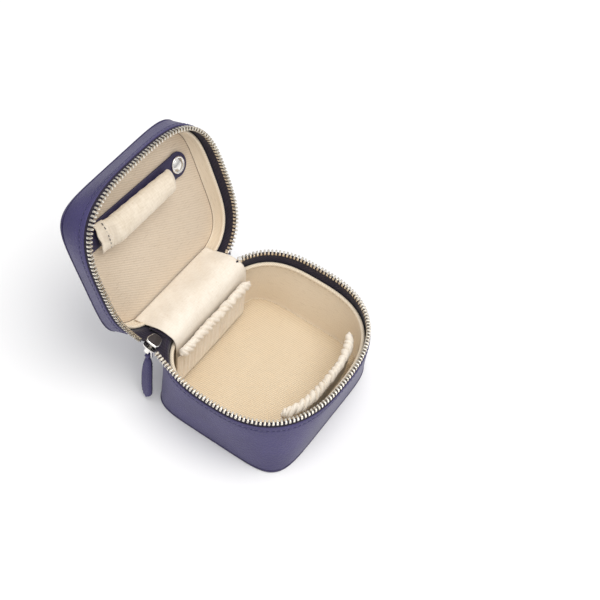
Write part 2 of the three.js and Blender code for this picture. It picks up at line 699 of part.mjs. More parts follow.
// Domed cap on the strap's face, with its shank through the strap.
function snapCap() {
  const low = STRAP_LOW - GAP;
  const dome = new THREE.LatheGeometry([
    [0, 0], [SNAP.cap - 0.3, 0], [SNAP.cap, 0.3], [SNAP.cap * 0.86, 1.0], [SNAP.cap * 0.5, 1.5], [0, 1.7],
  ].map(([r, h]) => new THREE.Vector2(r, h)), 24).rotateX(-Math.PI / 2).translate(BAR.capX, BAR.y, low);
  const shank = disc(SNAP.shank, low - 0.2, STRAP_TOP - 0.2, 12);
  return named(join([dome, shank]), 'snap_cap', nickel());
}

// The stud in the ceiling panel that the strap's end presses onto; its flange backs the panel.
function snapStud() {
  const head = disc(SNAP.stud, STRAP_TOP + 0.2, STRAP_TOP + 0.7);
  const shank = disc(SNAP.shank, STRAP_TOP + 0.5, LID_BOARD_LOW - GAP, 12);
  return named(join([head, shank]), 'snap_stud', nickel());
}

// ---- assembly ----
function lidGroup() {
  const shut = new THREE.Group();
  shut.add(
    lidSideBand(), lidTopPanel(), lidTopBoard(), lidSideBoard(), lidWallLining(), lidCeilingPanel(),
    zipTape(lidWall, LID_ROW, LID_SEAM_Z, -1, 'lid_zip_tape'), zipRow(LID_ROW, LID_SEAM_Z, -1, 'lid_zip_teeth'),
    endStop(LID_ROW, LID_SEAM_Z, 'lid_zip_stop'),
    ringBarAnchor(), ringBarStrap(), ringBarRoll(), snapCap(), snapStud(),
  );
  shut.position.set(0, -HINGE_Y, -HINGE_Z);
  const swung = new THREE.Group();
  swung.add(shut);
  swung.rotation.x = -OPEN_ANGLE;
  swung.position.set(0, HINGE_Y, HINGE_Z);
  return swung;
}

const jewelleryCase = new THREE.Group();
jewelleryCase.add(
  baseSideBand(), baseBottomPanel(), baseSideBoard(), baseFloorBoard(), baseFloorPad(), baseWallLining(),
  rearPocket(), rearPocketElastic(), frontPocket(), frontPocketElastic(),
  zipTape(baseWall, BASE_ROW, SEAM_Z, 1, 'base_zip_tape'), zipRow(BASE_ROW, SEAM_Z, 1, 'base_zip_teeth'),
  endStop(BASE_ROW, SEAM_Z, 'base_zip_stop'),
  hingeSpine(), hingeCloth(), sliderBody(), pullLink(), pullTab(), lidGroup(),
);

export default jewelleryCase;
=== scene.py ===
"""Looks of a rounded-square leather jewellery case that stands open.

Shapes are written in millimetres, in the CAD's frame: +Z up, the hinge side at +Y. The lid and
its ring bar are written as if the case were shut, and `opened` swings them to where they stand.
"""

import math

import bmesh
import bpy
import numpy as np
from mathutils import Matrix, Vector


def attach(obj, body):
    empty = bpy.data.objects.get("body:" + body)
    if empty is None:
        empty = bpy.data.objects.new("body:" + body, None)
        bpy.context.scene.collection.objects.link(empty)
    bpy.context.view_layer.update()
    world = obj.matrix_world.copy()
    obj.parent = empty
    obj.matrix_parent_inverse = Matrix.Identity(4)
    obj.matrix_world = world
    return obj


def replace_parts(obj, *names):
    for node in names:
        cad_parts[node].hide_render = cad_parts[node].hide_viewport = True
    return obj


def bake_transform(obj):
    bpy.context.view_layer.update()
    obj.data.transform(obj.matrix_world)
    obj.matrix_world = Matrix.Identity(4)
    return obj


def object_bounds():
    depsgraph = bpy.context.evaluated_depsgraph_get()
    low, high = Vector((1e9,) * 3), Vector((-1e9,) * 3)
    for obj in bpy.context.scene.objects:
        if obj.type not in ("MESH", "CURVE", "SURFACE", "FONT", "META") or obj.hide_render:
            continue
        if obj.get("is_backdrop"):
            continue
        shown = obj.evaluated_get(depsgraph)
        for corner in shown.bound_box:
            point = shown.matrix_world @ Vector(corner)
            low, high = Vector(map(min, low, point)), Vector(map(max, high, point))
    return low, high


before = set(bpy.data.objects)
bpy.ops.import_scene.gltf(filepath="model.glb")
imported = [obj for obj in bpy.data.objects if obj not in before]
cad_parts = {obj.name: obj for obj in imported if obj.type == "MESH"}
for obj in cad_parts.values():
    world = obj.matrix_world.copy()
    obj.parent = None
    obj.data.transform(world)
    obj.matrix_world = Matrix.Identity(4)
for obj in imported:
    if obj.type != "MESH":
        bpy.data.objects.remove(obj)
cad_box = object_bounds()
rng = np.random.default_rng(11)
MM = 0.001

# ---- the case's driving dimensions, as in the CAD ----
BOTTOM = {"x": 45.4, "y": 40.0, "power": 6.2}
BASE_RIM = {"x": 50.9, "front": (46.2, 2.5), "rear": (43.6, 2.9)}
LID_RIM = {"x": 49.6, "front": (45.0, 3.1), "rear": (43.8, 3.1)}
BASE_EDGE, SEAM, LID_SEAM, LID_EDGE, LID_TOP = 39.5, 42.2, 44.7, 47.4, 62.8
OPEN_ANGLE = math.radians(113.95)
HINGE_Y, HINGE_Z = 41.2, 38.45
LINING_IN = 3.3          # inset of the linings' visible face
ROW_INSET = 1.35
STATIONS = 300


def mix(a, b, t):
    return a + (b - a) * t


def smooth_step(low, high, x):
    t = np.clip((x - low) / (high - low), 0, 1)
    return t * t * (3 - 2 * t)


# ---- outlines ----
def outline(rim, t, inset, phi):
    """Plan points between the flat end (t 0) and the mouth (t 1), set in by `inset`."""
    rear = np.sin(phi) > 0
    end_y = np.where(rear, rim["rear"][0], rim["front"][0])
    end_power = np.where(rear, rim["rear"][1], rim["front"][1])
    half_x = mix(BOTTOM["x"], rim["x"], t) - inset
    half_y = mix(BOTTOM["y"], end_y, t) - inset
    power = 1 / mix(1 / BOTTOM["power"], 1 / end_power, t)
    across = (np.abs(np.cos(phi)) / half_x) ** power
    back = (np.abs(np.sin(phi)) / half_y) ** power
    radius = (across + back) ** (-1 / power)
    return radius * np.cos(phi), radius * np.sin(phi)


def base_share(z):
    return np.clip(np.asarray(z, float) / BASE_EDGE, 0, 1)


def lid_share(z):
    return np.clip((LID_TOP - np.asarray(z, float)) / (LID_TOP - LID_EDGE), 0, 1)


BASE = (BASE_RIM, base_share)
LID = (LID_RIM, lid_share)


def wall_points(wall, inset, z, phi):
    rim, share = wall
    inset, z, phi = np.broadcast_arrays(*(np.asarray(value, float) for value in (inset, z, phi)))
    x, y = outline(rim, share(z), inset, phi)
    return np.stack([x, y, z], -1)


def opened(points):
    """Where points of the shut lid go when the lid stands open."""
    p = np.asarray(points, float)
    dy, dz = p[..., 1] - HINGE_Y, p[..., 2] - HINGE_Z
    c, s = math.cos(OPEN_ANGLE), math.sin(OPEN_ANGLE)
    return np.stack([p[..., 0], HINGE_Y + dy * c + dz * s, HINGE_Z - dy * s + dz * c], -1)


def round_the_case(count=STATIONS):
    """Directions right round, closer together at the four corners, starting at the hinge side."""
    even = math.pi / 2 + np.arange(count) / count * 2 * math.pi
    return even + 0.15 * np.sin(4 * even)


# ---- meshes ----
def make(name, points, faces, materials, body=None, surf=None, material_index=None):
    """An object of points in millimetres. `surf` is the surface's own coordinates, for its weave."""
    mesh = bpy.data.meshes.new(name)
    corners = np.asarray(points, float).reshape(-1, 3) * MM
    mesh.from_pydata(corners.tolist(), [], [list(map(int, f)) for f in faces])
    mesh.update()
    if surf is not None:
        attribute = mesh.attributes.new("surf", "FLOAT_VECTOR", "POINT")
        flat = np.zeros((len(mesh.vertices), 3), np.float32)
        flat[:, :2] = np.asarray(surf, float).reshape(-1, 2) * MM
        attribute.data.foreach_set("vector", flat.ravel())
    bm = bmesh.new()
    bm.from_mesh(mesh)
    bmesh.ops.recalc_face_normals(bm, faces=bm.faces)
    bm.to_mesh(mesh)
    bm.free()
    for material in materials if isinstance(materials, (list, tuple)) else [materials]:
        mesh.materials.append(material)
    if material_index is not None:
        mesh.polygons.foreach_set("material_index", np.asarray(material_index, np.int32))
    mesh.polygons.foreach_set("use_smooth", np.full(len(mesh.polygons), True))
    obj = bpy.data.objects.new(name, mesh)
    bpy.context.scene.collection.objects.link(obj)
    if body:
        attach(obj, body)
    return obj


def grid_faces(n, m, loop_n=False, loop_m=False):
    """Quads between neighbours of an n by m grid of points, which may close on itself either way."""
    i = np.arange(n if loop_n else n - 1)
    j = np.arange(m if loop_m else m - 1)
    a, b = np.meshgrid(i, j, indexing="ij")
    c, d = (a + 1) % n, (b + 1) % m
    return np.stack([a * m + b, c * m + b, c * m + d, a * m + d], -1).reshape(-1, 4)


def end_faces(n, m):
    """The two polygons that close an n by m grid whose columns run round."""
    return [list(range(m)), [(n - 1) * m + i for i in range(m)]]


def lengths(grid):
    """Distances along both directions of a grid of points, for the surface's own coordinates."""
    u = np.zeros(grid.shape[:2])
    v = np.zeros(grid.shape[:2])
    u[1:] = np.cumsum(np.linalg.norm(np.diff(grid, axis=0), axis=-1).mean(1))[:, None]
    v[:, 1:] = np.cumsum(np.linalg.norm(np.diff(grid, axis=1), axis=-1).mean(0))[None, :]
    return np.stack([u, v], -1)


def ring_wall(name, wall, profile, material, body, closed=True, marks=None):
    """A wall right round the case. `profile` lists (inset, z) corners of its section."""
    phi = round_the_case()
    profile = np.asarray(profile, float)
    grid = wall_points(wall, profile[None, :, 0], profile[None, :, 1], phi[:, None])
    surf = lengths(grid)
    if wall is LID:
        grid = opened(grid)
    marks = None if marks is None else np.tile(marks, len(phi))
    faces = grid_faces(*grid.shape[:2], True, closed)
    return make(name, grid, faces, material, body, surf=surf, material_index=marks)


def filled_panel(name, wall, layers, material, body, rings=10, shape=None):
    """A panel that fills the outline: its faces are rings that shrink towards the middle."""
    phi = round_the_case()
    layers = np.asarray(layers, float)
    edge = wall_points(wall, layers[None, :, 0], layers[None, :, 1], phi[:, None])
    shrink = np.linspace(1, 0, rings + 1)[1:-1]
    low, high = edge[:, 0], edge[:, -1]

    def face(ring):
        return [np.concatenate([ring[:, :2] * k, ring[:, 2:]], 1) for k in shrink]

    columns = face(low)[::-1] + [edge[:, i] for i in range(edge.shape[1])] + face(high)
    grid = np.stack(columns, 1)
    if shape is not None:
        grid = shape(grid)
    n, m = grid.shape[:2]
    ends = np.array([grid[:, 0].mean(0), grid[:, -1].mean(0)])
    if shape is not None:
        ends = shape(ends[None])[0]
    points = np.concatenate([grid.reshape(-1, 3), ends])
    faces = grid_faces(n, m, True).tolist()
    for i in range(n):
        k = (i + 1) % n
        faces.append([n * m, k * m, i * m])
        faces.append([n * m + 1, i * m + m - 1, k * m + m - 1])
    surf = points[:, :2].copy()
    if wall is LID:
        points = opened(points)
    return make(name, points, faces, material, body, surf=surf)


def repeated(name, template, faces, places, material, body):
    """Copies of one small shape. `places` is (count, 3, 4): axes as columns, and position."""
    template = np.asarray(template, float)
    points = np.einsum("nij,kj->nki", places[:, :, :3], template) + places[:, None, :, 3]
    faces = np.asarray(faces)
    first = np.arange(len(places)) * len(template)
    every = (faces[None] + first[:, None, None]).reshape(-1, faces.shape[1])
    return make(name, points, every, material, body)


def tube(name, path, radius, material, body, sides=10, closed=False):
    """A round wire or thread along a path."""
    path = np.asarray(path, float)
    if closed:
        along = np.roll(path, -1, 0) - np.roll(path, 1, 0)
    else:
        along = np.gradient(path, axis=0)
    along /= np.linalg.norm(along, axis=1)[:, None]
    normal = np.cross(along[0], [0.31, 0.47, 0.83])
    a = np.arange(sides) / sides * 2 * math.pi
    rings = []
    for p, t in zip(path, along):
        normal = normal - t * (normal @ t)
        normal /= np.linalg.norm(normal)
        side = np.cross(t, normal)
        rings.append(p + radius * (np.cos(a)[:, None] * normal + np.sin(a)[:, None] * side))
    grid = np.stack(rings)
    faces = grid_faces(len(path), sides, closed, True).tolist()
    if not closed:
        faces.append(list(range(sides))[::-1])
        faces.append([(len(path) - 1) * sides + i for i in range(sides)])
    return make(name, grid, faces, material, body)


def beveled_box(size, bevel, segments=2):
    """Points and triangles of a box with rounded edges, centred on the origin."""
    bm = bmesh.new()
    bmesh.ops.create_cube(bm, size=1)
    bmesh.ops.scale(bm, vec=size, verts=bm.verts)
    bmesh.ops.bevel(bm, geom=bm.edges[:], offset=bevel, segments=segments, profile=0.6, affect="EDGES")
    bmesh.ops.triangulate(bm, faces=bm.faces)
    points = np.array([v.co for v in bm.verts])
    faces = np.array([[v.index for v in f.verts] for f in bm.faces])
    bm.free()
    return points, faces


def merged(parts):
    """Several (points, faces) as one."""
    points, faces, start = [], [], 0
    for p, f in parts:
        points.append(p)
        faces.append(np.asarray(f) + start)
        start += len(p)
    return np.concatenate(points), np.concatenate(faces)


# ---- materials ----
def srgb(r, g, b):
    def linear(c):
        c /= 255
        return c / 12.92 if c <= 0.04045 else ((c + 0.055) / 1.055) ** 2.4
    return (linear(r), linear(g), linear(b), 1.0)


class Nodes:
    """A short way to write a material's nodes."""

    def __init__(self, name, roughness, **sockets):
        self.material = bpy.data.materials.new(name)
        self.material.use_nodes = True
        self.tree = self.material.node_tree
        self.shader = self.tree.nodes["Principled BSDF"]
        self.shader.inputs["Roughness"].default_value = roughness
        for socket, value in sockets.items():
            self.shader.inputs[socket.replace("_", " ")].default_value = value
        self.normal = None

    def add(self, kind, **values):
        node = self.tree.nodes.new(kind)
        for key, value in values.items():
            if key in node.inputs:
                node.inputs[key].default_value = value
            else:
                setattr(node, key, value)
        return node

    def link(self, a, b):
        self.tree.links.new(a, b)

    def place(self, own=False, scale=(1, 1, 1), turn=0.0):
        """Coordinates in metres: the object's, or the surface's own where it has them."""
        if own:
            source = self.add("ShaderNodeAttribute", attribute_name="surf").outputs["Vector"]
        else:
            source = self.add("ShaderNodeTexCoord").outputs["Object"]
        mapping = self.add("ShaderNodeMapping")
        mapping.inputs["Scale"].default_value = scale
        mapping.inputs["Rotation"].default_value = (0, 0, turn)
        self.link(source, mapping.inputs["Vector"])
        return mapping.outputs["Vector"]

    def noise(self, where, scale, detail=3.0, rough=0.55):
        node = self.add("ShaderNodeTexNoise", Scale=scale, Detail=detail, Roughness=rough, Distortion=0.0)
        self.link(where, node.inputs["Vector"])
        return node.outputs["Fac"]

    def ramp(self, value, stops):
        node = self.add("ShaderNodeValToRGB")
        elements = node.color_ramp.elements
        while len(elements) < len(stops):
            elements.new(0.5)
        for element, (position, color) in zip(elements, stops):
            element.position = position
            element.color = color
        self.link(value, node.inputs["Fac"])
        return node.outputs["Color"]

    def mixed(self, a, b, share):
        """Two values added, `share` of the first and the rest of the second."""
        rest = self.math("MULTIPLY", b, round(1 - share, 6))
        return self.math("ADD", self.math("MULTIPLY", a, share), rest)

    def math(self, operation, a, b):
        node = self.add("ShaderNodeMath", operation=operation)
        for i, value in enumerate((a, b)):
            if isinstance(value, (int, float)):
                node.inputs[i].default_value = value
            else:
                self.link(value, node.inputs[i])
        return node.outputs[0]

    def blend(self, factor, a, b, mode="MIX"):
        node = self.add("ShaderNodeMix", data_type="RGBA", blend_type=mode)
        for socket, value in ((node.inputs[0], factor), (node.inputs[6], a), (node.inputs[7], b)):
            if isinstance(value, (int, float, tuple)):
                socket.default_value = value
            else:
                self.link(value, socket)
        return node.outputs[2]

    def bump(self, height, strength, distance):
        node = self.add("ShaderNodeBump", Strength=strength, Distance=distance)
        self.link(height, node.inputs["Height"])
        if self.normal is not None:
            self.link(self.normal, node.inputs["Normal"])
        self.normal = node.outputs["Normal"]

    def done(self, color=None, roughness=None):
        if isinstance(color, tuple):
            self.shader.inputs["Base Color"].default_value = color
        elif color is not None:
            self.link(color, self.shader.inputs["Base Color"])
        if roughness is not None:
            self.link(roughness, self.shader.inputs["Roughness"])
        if self.normal is not None:
            self.link(self.normal, self.shader.inputs["Normal"])
        return self.material


def leather(name, dark, light, grain=1.0, roughness=0.5):
    n = Nodes(name, roughness, Sheen_Weight=0.1, Sheen_Roughness=0.4, Specular_IOR_Level=0.45)
    where = n.place()
    cells = n.add("ShaderNodeTexVoronoi", feature="SMOOTH_F1", Scale=1050.0, Randomness=0.95, Smoothness=0.4)
    n.link(where, cells.inputs["Vector"])
    creases = n.add("ShaderNodeTexVoronoi", feature="DISTANCE_TO_EDGE", Scale=620.0, Randomness=1.0)
    n.link(where, creases.inputs["Vector"])
    n.bump(cells.outputs["Distance"], 0.5 * grain, 0.0003)
    n.bump(creases.outputs["Distance"], 0.22 * grain, 0.00022)
    n.bump(n.noise(where, 2600, 2), 0.1 * grain, 0.0001)
    broad = n.noise(where, 38, 3)
    fine = n.noise(where, 900, 3)
    tone = n.ramp(n.mixed(broad, fine, 0.75), [(0.3, dark), (0.72, light)])
    # The grain's creases are painted a little darker: painted shade in them.
    crease_shade = n.ramp(creases.outputs["Distance"], [(0.0, (0.72, 0.72, 0.76, 1)), (0.09, (1, 1, 1, 1))])
    tone = n.blend(0.55, tone, crease_shade, "MULTIPLY")
    rough = n.math("ADD", n.math("MULTIPLY", fine, 0.22), roughness - 0.11)
    return n.done(tone, rough)


WAVE_PER_MM = 314.16     # a wave texture's scale for one band in each millimetre


def twill(name, thread, gap, pitch=0.9, turn=45.0, slubs=0.35, strength=0.5, fuzz=0.4):
    """Cotton with a diagonal rib. `pitch` is the rib's, in millimetres."""
    n = Nodes(name, 0.92, Sheen_Weight=0.25, Sheen_Roughness=0.6, Specular_IOR_Level=0.2)
    where = n.place(own=True, turn=math.radians(turn))
    wave = n.add("ShaderNodeTexWave", wave_type="BANDS", bands_direction="Y", Scale=WAVE_PER_MM / pitch,
                 Distortion=0.7, Detail=2.0)
    wave.inputs["Detail Scale"].default_value = 1.6
    n.link(where, wave.inputs["Vector"])
    rib = wave.outputs["Fac"]
    cross = n.noise(n.place(own=True, turn=math.radians(turn), scale=(1, 0.22, 1)), 1900, 2)
    n.bump(rib, strength, 0.00012)
    n.bump(cross, strength * 0.6, 0.0001)
    streak = n.noise(n.place(own=True, turn=math.radians(turn), scale=(0.12, 1, 1)), 1500, 2, 0.6)
    fleck = n.ramp(streak, [(0.28, (0.62, 0.55, 0.47, 1)), (0.42, (1, 1, 1, 1))])
    cloud = n.noise(n.place(), 45, 3)
    tone = n.blend(rib, gap, thread)
    tone = n.blend(n.math("MULTIPLY", cross, fuzz), tone, thread)
    tone = n.blend(slubs, tone, fleck, "MULTIPLY")
    tone = n.blend(0.22, tone, n.ramp(cloud, [(0.3, (0.86, 0.82, 0.76, 1)), (0.7, (1, 1, 1, 1))]), "MULTIPLY")
    return n.done(tone)


def plain_cloth(name, light, dark, scale=1500.0, strength=0.35):
    """Smooth cotton with a fine even weave."""
    n = Nodes(name, 0.9, Sheen_Weight=0.3, Sheen_Roughness=0.5, Specular_IOR_Level=0.2)
    along = n.noise(n.place(own=True, scale=(1, 0.2, 1)), scale, 2)
    across = n.noise(n.place(own=True, scale=(0.2, 1, 1)), scale, 2)
    weave = n.mixed(along, across, 0.5)
    n.bump(weave, strength, 0.00012)
    cloud = n.noise(n.place(), 60, 4)
    n.bump(cloud, 0.25, 0.0012)
    tone = n.ramp(n.mixed(weave, cloud, 0.6), [(0.32, dark), (0.6, light)])
    speck = n.ramp(n.noise(n.place(), 700, 2), [(0.24, (0.72, 0.63, 0.52, 1)), (0.33, (1, 1, 1, 1))])
    return n.done(n.blend(0.35, tone, speck, "MULTIPLY"))


def woven_tape(name, light, dark):
    n = Nodes(name, 0.8, Sheen_Weight=0.2, Sheen_Roughness=0.5, Specular_IOR_Level=0.3)
    where = n.place(own=True)
    bands = []
    for direction, scale, distortion in (("DIAGONAL", 320.0, 0.3), ("Y", 420.0, 0.2)):
        wave = n.add("ShaderNodeTexWave", wave_type="BANDS", bands_direction=direction, Scale=scale,
                     Distortion=distortion)
        n.link(where, wave.inputs["Vector"])
        bands.append(wave.outputs["Fac"])
    height = n.mixed(*bands, 0.5)
    n.bump(height, 0.5, 0.00018)
    return n.done(n.ramp(n.mixed(height, n.noise(where, 300), 0.6), [(0.2, dark), (0.8, light)]))


def metal(name, color, tarnish, roughness, scratch=0.05):
    n = Nodes(name, roughness, Metallic=1.0)
    where = n.place()
    wear = n.noise(where, 420, 4)
    n.bump(n.noise(where, 1500, 3), scratch, 0.00008)
    rough = n.math("ADD", n.math("MULTIPLY", wear, 0.16), roughness - 0.08)
    return n.done(n.ramp(wear, [(0.3, tarnish), (0.62, color)]), rough)


def thread(name, light, dark):
    n = Nodes(name, 0.55, Sheen_Weight=0.3)
    twist = n.noise(n.place(), 1800, 2)
    n.bump(twist, 0.5, 0.0001)
    return n.done(n.ramp(twist, [(0.3, dark), (0.7, light)]))


def board_paint(name, light, dark):
    """Painted cut edge of leather."""
    n = Nodes(name, 0.42, Specular_IOR_Level=0.5)
    where = n.place()
    n.bump(n.noise(where, 700, 3), 0.2, 0.0002)
    return n.done(n.ramp(n.noise(where, 260, 3), [(0.3, dark), (0.7, light)]))


M_LEATHER = leather("leather", srgb(50, 44, 87), srgb(68, 61, 110))
M_PANEL = leather("leather_panel", srgb(49, 42, 85), srgb(66, 58, 106), 0.9)
M_STRAP = leather("leather_strap", srgb(38, 33, 62), srgb(54, 48, 84), 0.6, 0.55)
M_EDGE = board_paint("painted_edge", srgb(58, 51, 88), srgb(38, 32, 62))
M_THREAD = thread("navy_thread", srgb(58, 54, 112), srgb(30, 28, 66))
M_DARK_THREAD = thread("dark_thread", srgb(70, 66, 70), srgb(36, 34, 40))
M_CREAM_THREAD = thread("cream_thread", srgb(214, 196, 166), srgb(182, 162, 130))
M_SEAM = thread("brown_thread", srgb(150, 124, 100), srgb(102, 82, 68))
M_LINING = twill("lining_twill", srgb(223, 207, 186), srgb(196, 177, 152), 0.85, -43.6, 0.4, 0.4, 0.55)
M_WALL = twill("wall_twill", srgb(244, 231, 210), srgb(220, 202, 174), 0.8, 40.0)
M_PAD = twill("pad_twill", srgb(234, 218, 192), srgb(205, 184, 152), 1.0, 20.0, 0.2)
M_COTTON = plain_cloth("smooth_cotton", srgb(240, 231, 217), srgb(226, 213, 195))
M_ROLL = plain_cloth("roll_cotton", srgb(232, 220, 202), srgb(208, 193, 170), 1100.0, 0.6)
M_TAPE = woven_tape("zip_tape_weave", srgb(46, 38, 58), srgb(20, 15, 27))
M_NICKEL = metal("nickel", (0.8, 0.76, 0.68, 1), (0.55, 0.5, 0.43, 1), 0.22)
M_GUN = metal("gunmetal", (0.105, 0.09, 0.088, 1), (0.08, 0.068, 0.066, 1), 0.55, 0.03)
M_BRIGHT = metal("bright_nickel", (0.92, 0.9, 0.87, 1), (0.76, 0.73, 0.69, 1), 0.24)


# ---- stitches ----
def capsule(length, radius):
    """A short thread lying along X, sinking at its ends."""
    rings, sides = 6, 7
    x = np.linspace(-1, 1, rings)
    a = np.arange(sides) / sides * 2 * math.pi
    swell = np.sqrt(np.maximum(0.04, 1 - np.abs(x) ** 3.2))
    points = np.stack([
        np.repeat(x * length / 2, sides),
        (swell[:, None] * np.cos(a)[None] * radius).ravel(),
        (swell[:, None] * np.sin(a)[None] * radius * 0.8 - (np.abs(x) ** 3)[:, None] * radius * 0.6).ravel(),
    ], 1)
    quads = grid_faces(rings, sides, False, True)
    tris = np.concatenate([quads[:, [0, 1, 2]], quads[:, [0, 2, 3]]])
    return points, tris


def frames_along(path, normals, turn=0.0):
    """(count, 3, 4) places at the middles of a path's steps: X along it, Z out of the surface."""
    path, normals = np.asarray(path, float), np.asarray(normals, float)
    along = np.gradient(path, axis=0)
    along /= np.linalg.norm(along, axis=1)[:, None]
    z = normals - along * (normals * along).sum(1)[:, None]
    z /= np.linalg.norm(z, axis=1)[:, None]
    y = np.cross(z, along)
    x = along * math.cos(turn) + y * math.sin(turn)
    y = np.cross(z, x)
    return np.stack([x, y, z, path], -1)


def resample(path, step, closed=False):
    """A path cut into even steps of about `step`."""
    path = np.asarray(path, float)
    if closed:
        path = np.concatenate([path, path[:1]])
    at = np.concatenate([[0], np.cumsum(np.linalg.norm(np.diff(path, axis=0), axis=1))])
    count = max(2, int(round(at[-1] / step)))
    wanted = np.linspace(0, at[-1], count + 1)
    if closed:
        wanted = wanted[:-1]
    return np.stack([np.interp(wanted, at, path[:, k]) for k in range(path.shape[1])], 1)


STITCH_SHARE = 0.72      # how much of the pitch a thread shows
STITCH_TURN = 0.06       # threads lie slightly askew
STITCH_RADIUS = 0.22
BAND_PITCH = 2.7


def seam(name, path, outward, pitch, material, body, radius=STITCH_RADIUS, closed=False):
    """A row of stitches along a path. `outward` gives the surface's normal for a set of points."""
    points = resample(path, pitch, closed)
    places = frames_along(points, outward(points), STITCH_TURN)
    template, faces = capsule(pitch * STITCH_SHARE, radius)
    return repeated(name, template, faces, places, material, body)


def wall_normals(points, turn_back=False):
    """Rough outward directions of a wall, from the case's middle."""
    p = np.asarray(points, float)
    normal = np.stack([p[:, 0] ** 3 / 50 ** 3, p[:, 1] ** 3 / 45 ** 3, np.zeros(len(p))], 1)
    normal[:, 2] = -0.12 if not turn_back else 0.25
    return normal / np.linalg.norm(normal, axis=1)[:, None]


def opened_direction(v):
    """What `opened` does to a direction."""
    v = np.asarray(v, float)
    c, s = math.cos(OPEN_ANGLE), math.sin(OPEN_ANGLE)
    return np.stack([v[..., 0], v[..., 1] * c + v[..., 2] * s, -v[..., 1] * s + v[..., 2] * c], -1)


# ---- leather shell ----
STITCH_IN = 3.0          # from a band's turned edge to its stitches
STITCH_GROOVE = 0.14


def band_profile(edge, away, start):
    """(inset, z) round a band's section from its flat end over its turned edge to its inside.

    `away` is the direction from the band's edge into its height: -1 for the base, 1 for the lid.
    """
    stitch, crease = edge + away * STITCH_IN, edge + away * 1.25
    outer = [(0.3, start), (0.06, start - away * 0.25), (0.0, start - away * 0.8)]
    levels = np.linspace(start - away * 2.0, stitch + away * 1.0, 9)
    outer += [(0.0, z) for z in levels]
    groove, shoulder = STITCH_GROOVE, STITCH_GROOVE * 0.8
    for shift, depth in ((0.55, 0.03), (0.3, shoulder), (0.0, groove), (-0.3, shoulder), (-0.55, 0.02)):
        outer.append((depth, stitch + away * shift))
    outer.append((0.0, stitch - away * 0.9))
    for shift, depth in ((0.32, 0.0), (0.16, 0.07), (0.0, 0.1), (-0.16, 0.05), (-0.34, -0.04)):
        outer.append((depth, crease + away * shift))
    fold = [(-0.05, 0.75), (0.0, 0.4), (0.14, 0.14), (0.38, 0.0), (0.66, 0.02), (0.88, 0.16), (0.98, 0.42),
            (1.0, 0.9)]
    outer += [(inset, edge + away * down) for inset, down in fold]
    outer += [(0.95, edge + away * 3.0), (0.85, edge + away * 6.0)]
    outer += [(0.8, z) for z in np.linspace(edge + away * 9.0, start, 4)]
    return outer


def leather_shell():
    profile = band_profile(BASE_EDGE, -1, 1.45)
    # The turned edge's inner side is given the zip tape's dark cloth as painted shade, for the fold's
    # shadowed inside next to the teeth.
    marks = [1 if inset > 0.3 and i > 12 else 0 for i, (inset, _) in enumerate(profile)]
    base = ring_wall("base_leather_band", BASE, profile, [M_LEATHER, M_TAPE], "base", marks=marks)
    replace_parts(base, "base_side_band")
    profile = band_profile(LID_EDGE, 1, 61.3)
    # The lid's band gets the same painted shade on its fold's inner side.
    lid = ring_wall("lid_leather_band", LID, profile, [M_LEATHER, M_TAPE], "lid", marks=marks)
    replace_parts(lid, "lid_side_band")

    phi = round_the_case(600)
    line = wall_points(BASE, -0.02, BASE_EDGE - STITCH_IN, phi)
    piece = seam("base_band_stitches", line, wall_normals, BAND_PITCH, M_THREAD, "base", closed=True)
    line = wall_points(LID, -0.02, LID_EDGE + STITCH_IN, phi)
    shut = resample(line, BAND_PITCH, True)
    places = frames_along(opened(shut), opened_direction(wall_normals(shut, True)), STITCH_TURN)
    template, faces = capsule(BAND_PITCH * STITCH_SHARE, STITCH_RADIUS)
    piece = repeated("lid_band_stitches", template, faces, places, M_THREAD, "lid")


def end_panels():
    rim = [(2.2, 0.0), (0.9, 0.0), (0.35, 0.06), (0.02, 0.28), (-0.16, 0.6), (-0.12, 0.95), (0.1, 1.18),
           (1.4, 1.2)]
    bottom = filled_panel("base_bottom_leather", BASE, rim, M_PANEL, "base")
    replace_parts(bottom, "base_bottom_panel")
    top = [(inset, LID_TOP - z) for inset, z in rim]
    lid = filled_panel("lid_top_leather", LID, top[::-1], M_PANEL, "lid")
    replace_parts(lid, "lid_top_panel")
    # The painted cut edges run round both panels.
    for body, wall, z in (("base", BASE, 0.62), ("lid", LID, LID_TOP - 0.62)):
        section = [(-0.02 - 0.24 * math.cos(t), z + 0.46 * math.sin(t)) for t in np.linspace(-1.3, 1.3, 9)]
        section += [(0.3, section[-1][1]), (0.3, section[0][1])]
        piece = ring_wall(f"{body}_painted_edge", wall, section, M_EDGE, body)


# ---- zip ----
TOOTH_PITCH = 2.0


def row_line(rim, end, leaves, tail):
    """Plan points of a row: along the rim, then off it to `tail`, where it enters the slider."""
    phi = np.radians(np.linspace(end, leaves, 400))
    x, y = outline(rim, 1.0, ROW_INSET, phi)
    points = np.stack([x, y], 1)
    leaving, along = points[-1], points[-1] - points[-2]
    along = along / np.linalg.norm(along)
    tail = np.asarray(tail, float)
    bend = leaving + along * np.linalg.norm(tail - leaving) * 0.45
    t = np.linspace(0, 1, 60)[1:, None]
    curve = (1 - t) ** 2 * leaving + 2 * t * (1 - t) * bend + t ** 2 * tail
    return np.concatenate([points, curve])


BASE_ROW = {"rim": BASE_RIM, "end": 51, "leaves": -197, "tail": (-43.2, 36.6)}
LID_ROW = {"rim": LID_RIM, "end": 48, "leaves": -204, "tail": (-41.0, 35.7)}


def line_of(row):
    return row_line(row["rim"], row["end"], row["leaves"], row["tail"])


def tooth():
    """One tooth: a block of legs clamped on the tape's cord, a neck, and a rounded head."""
    legs = beveled_box((1.12, 2.3, 1.35), 0.2)
    neck = beveled_box((0.78, 1.5, 1.3), 0.2)
    head = beveled_box((1.0, 2.0, 0.75), 0.26)
    legs[0][:, 2] -= 0.4
    neck[0][:, 2] += 0.2
    head[0][:, 2] += 0.72
    return merged([legs, neck, head])


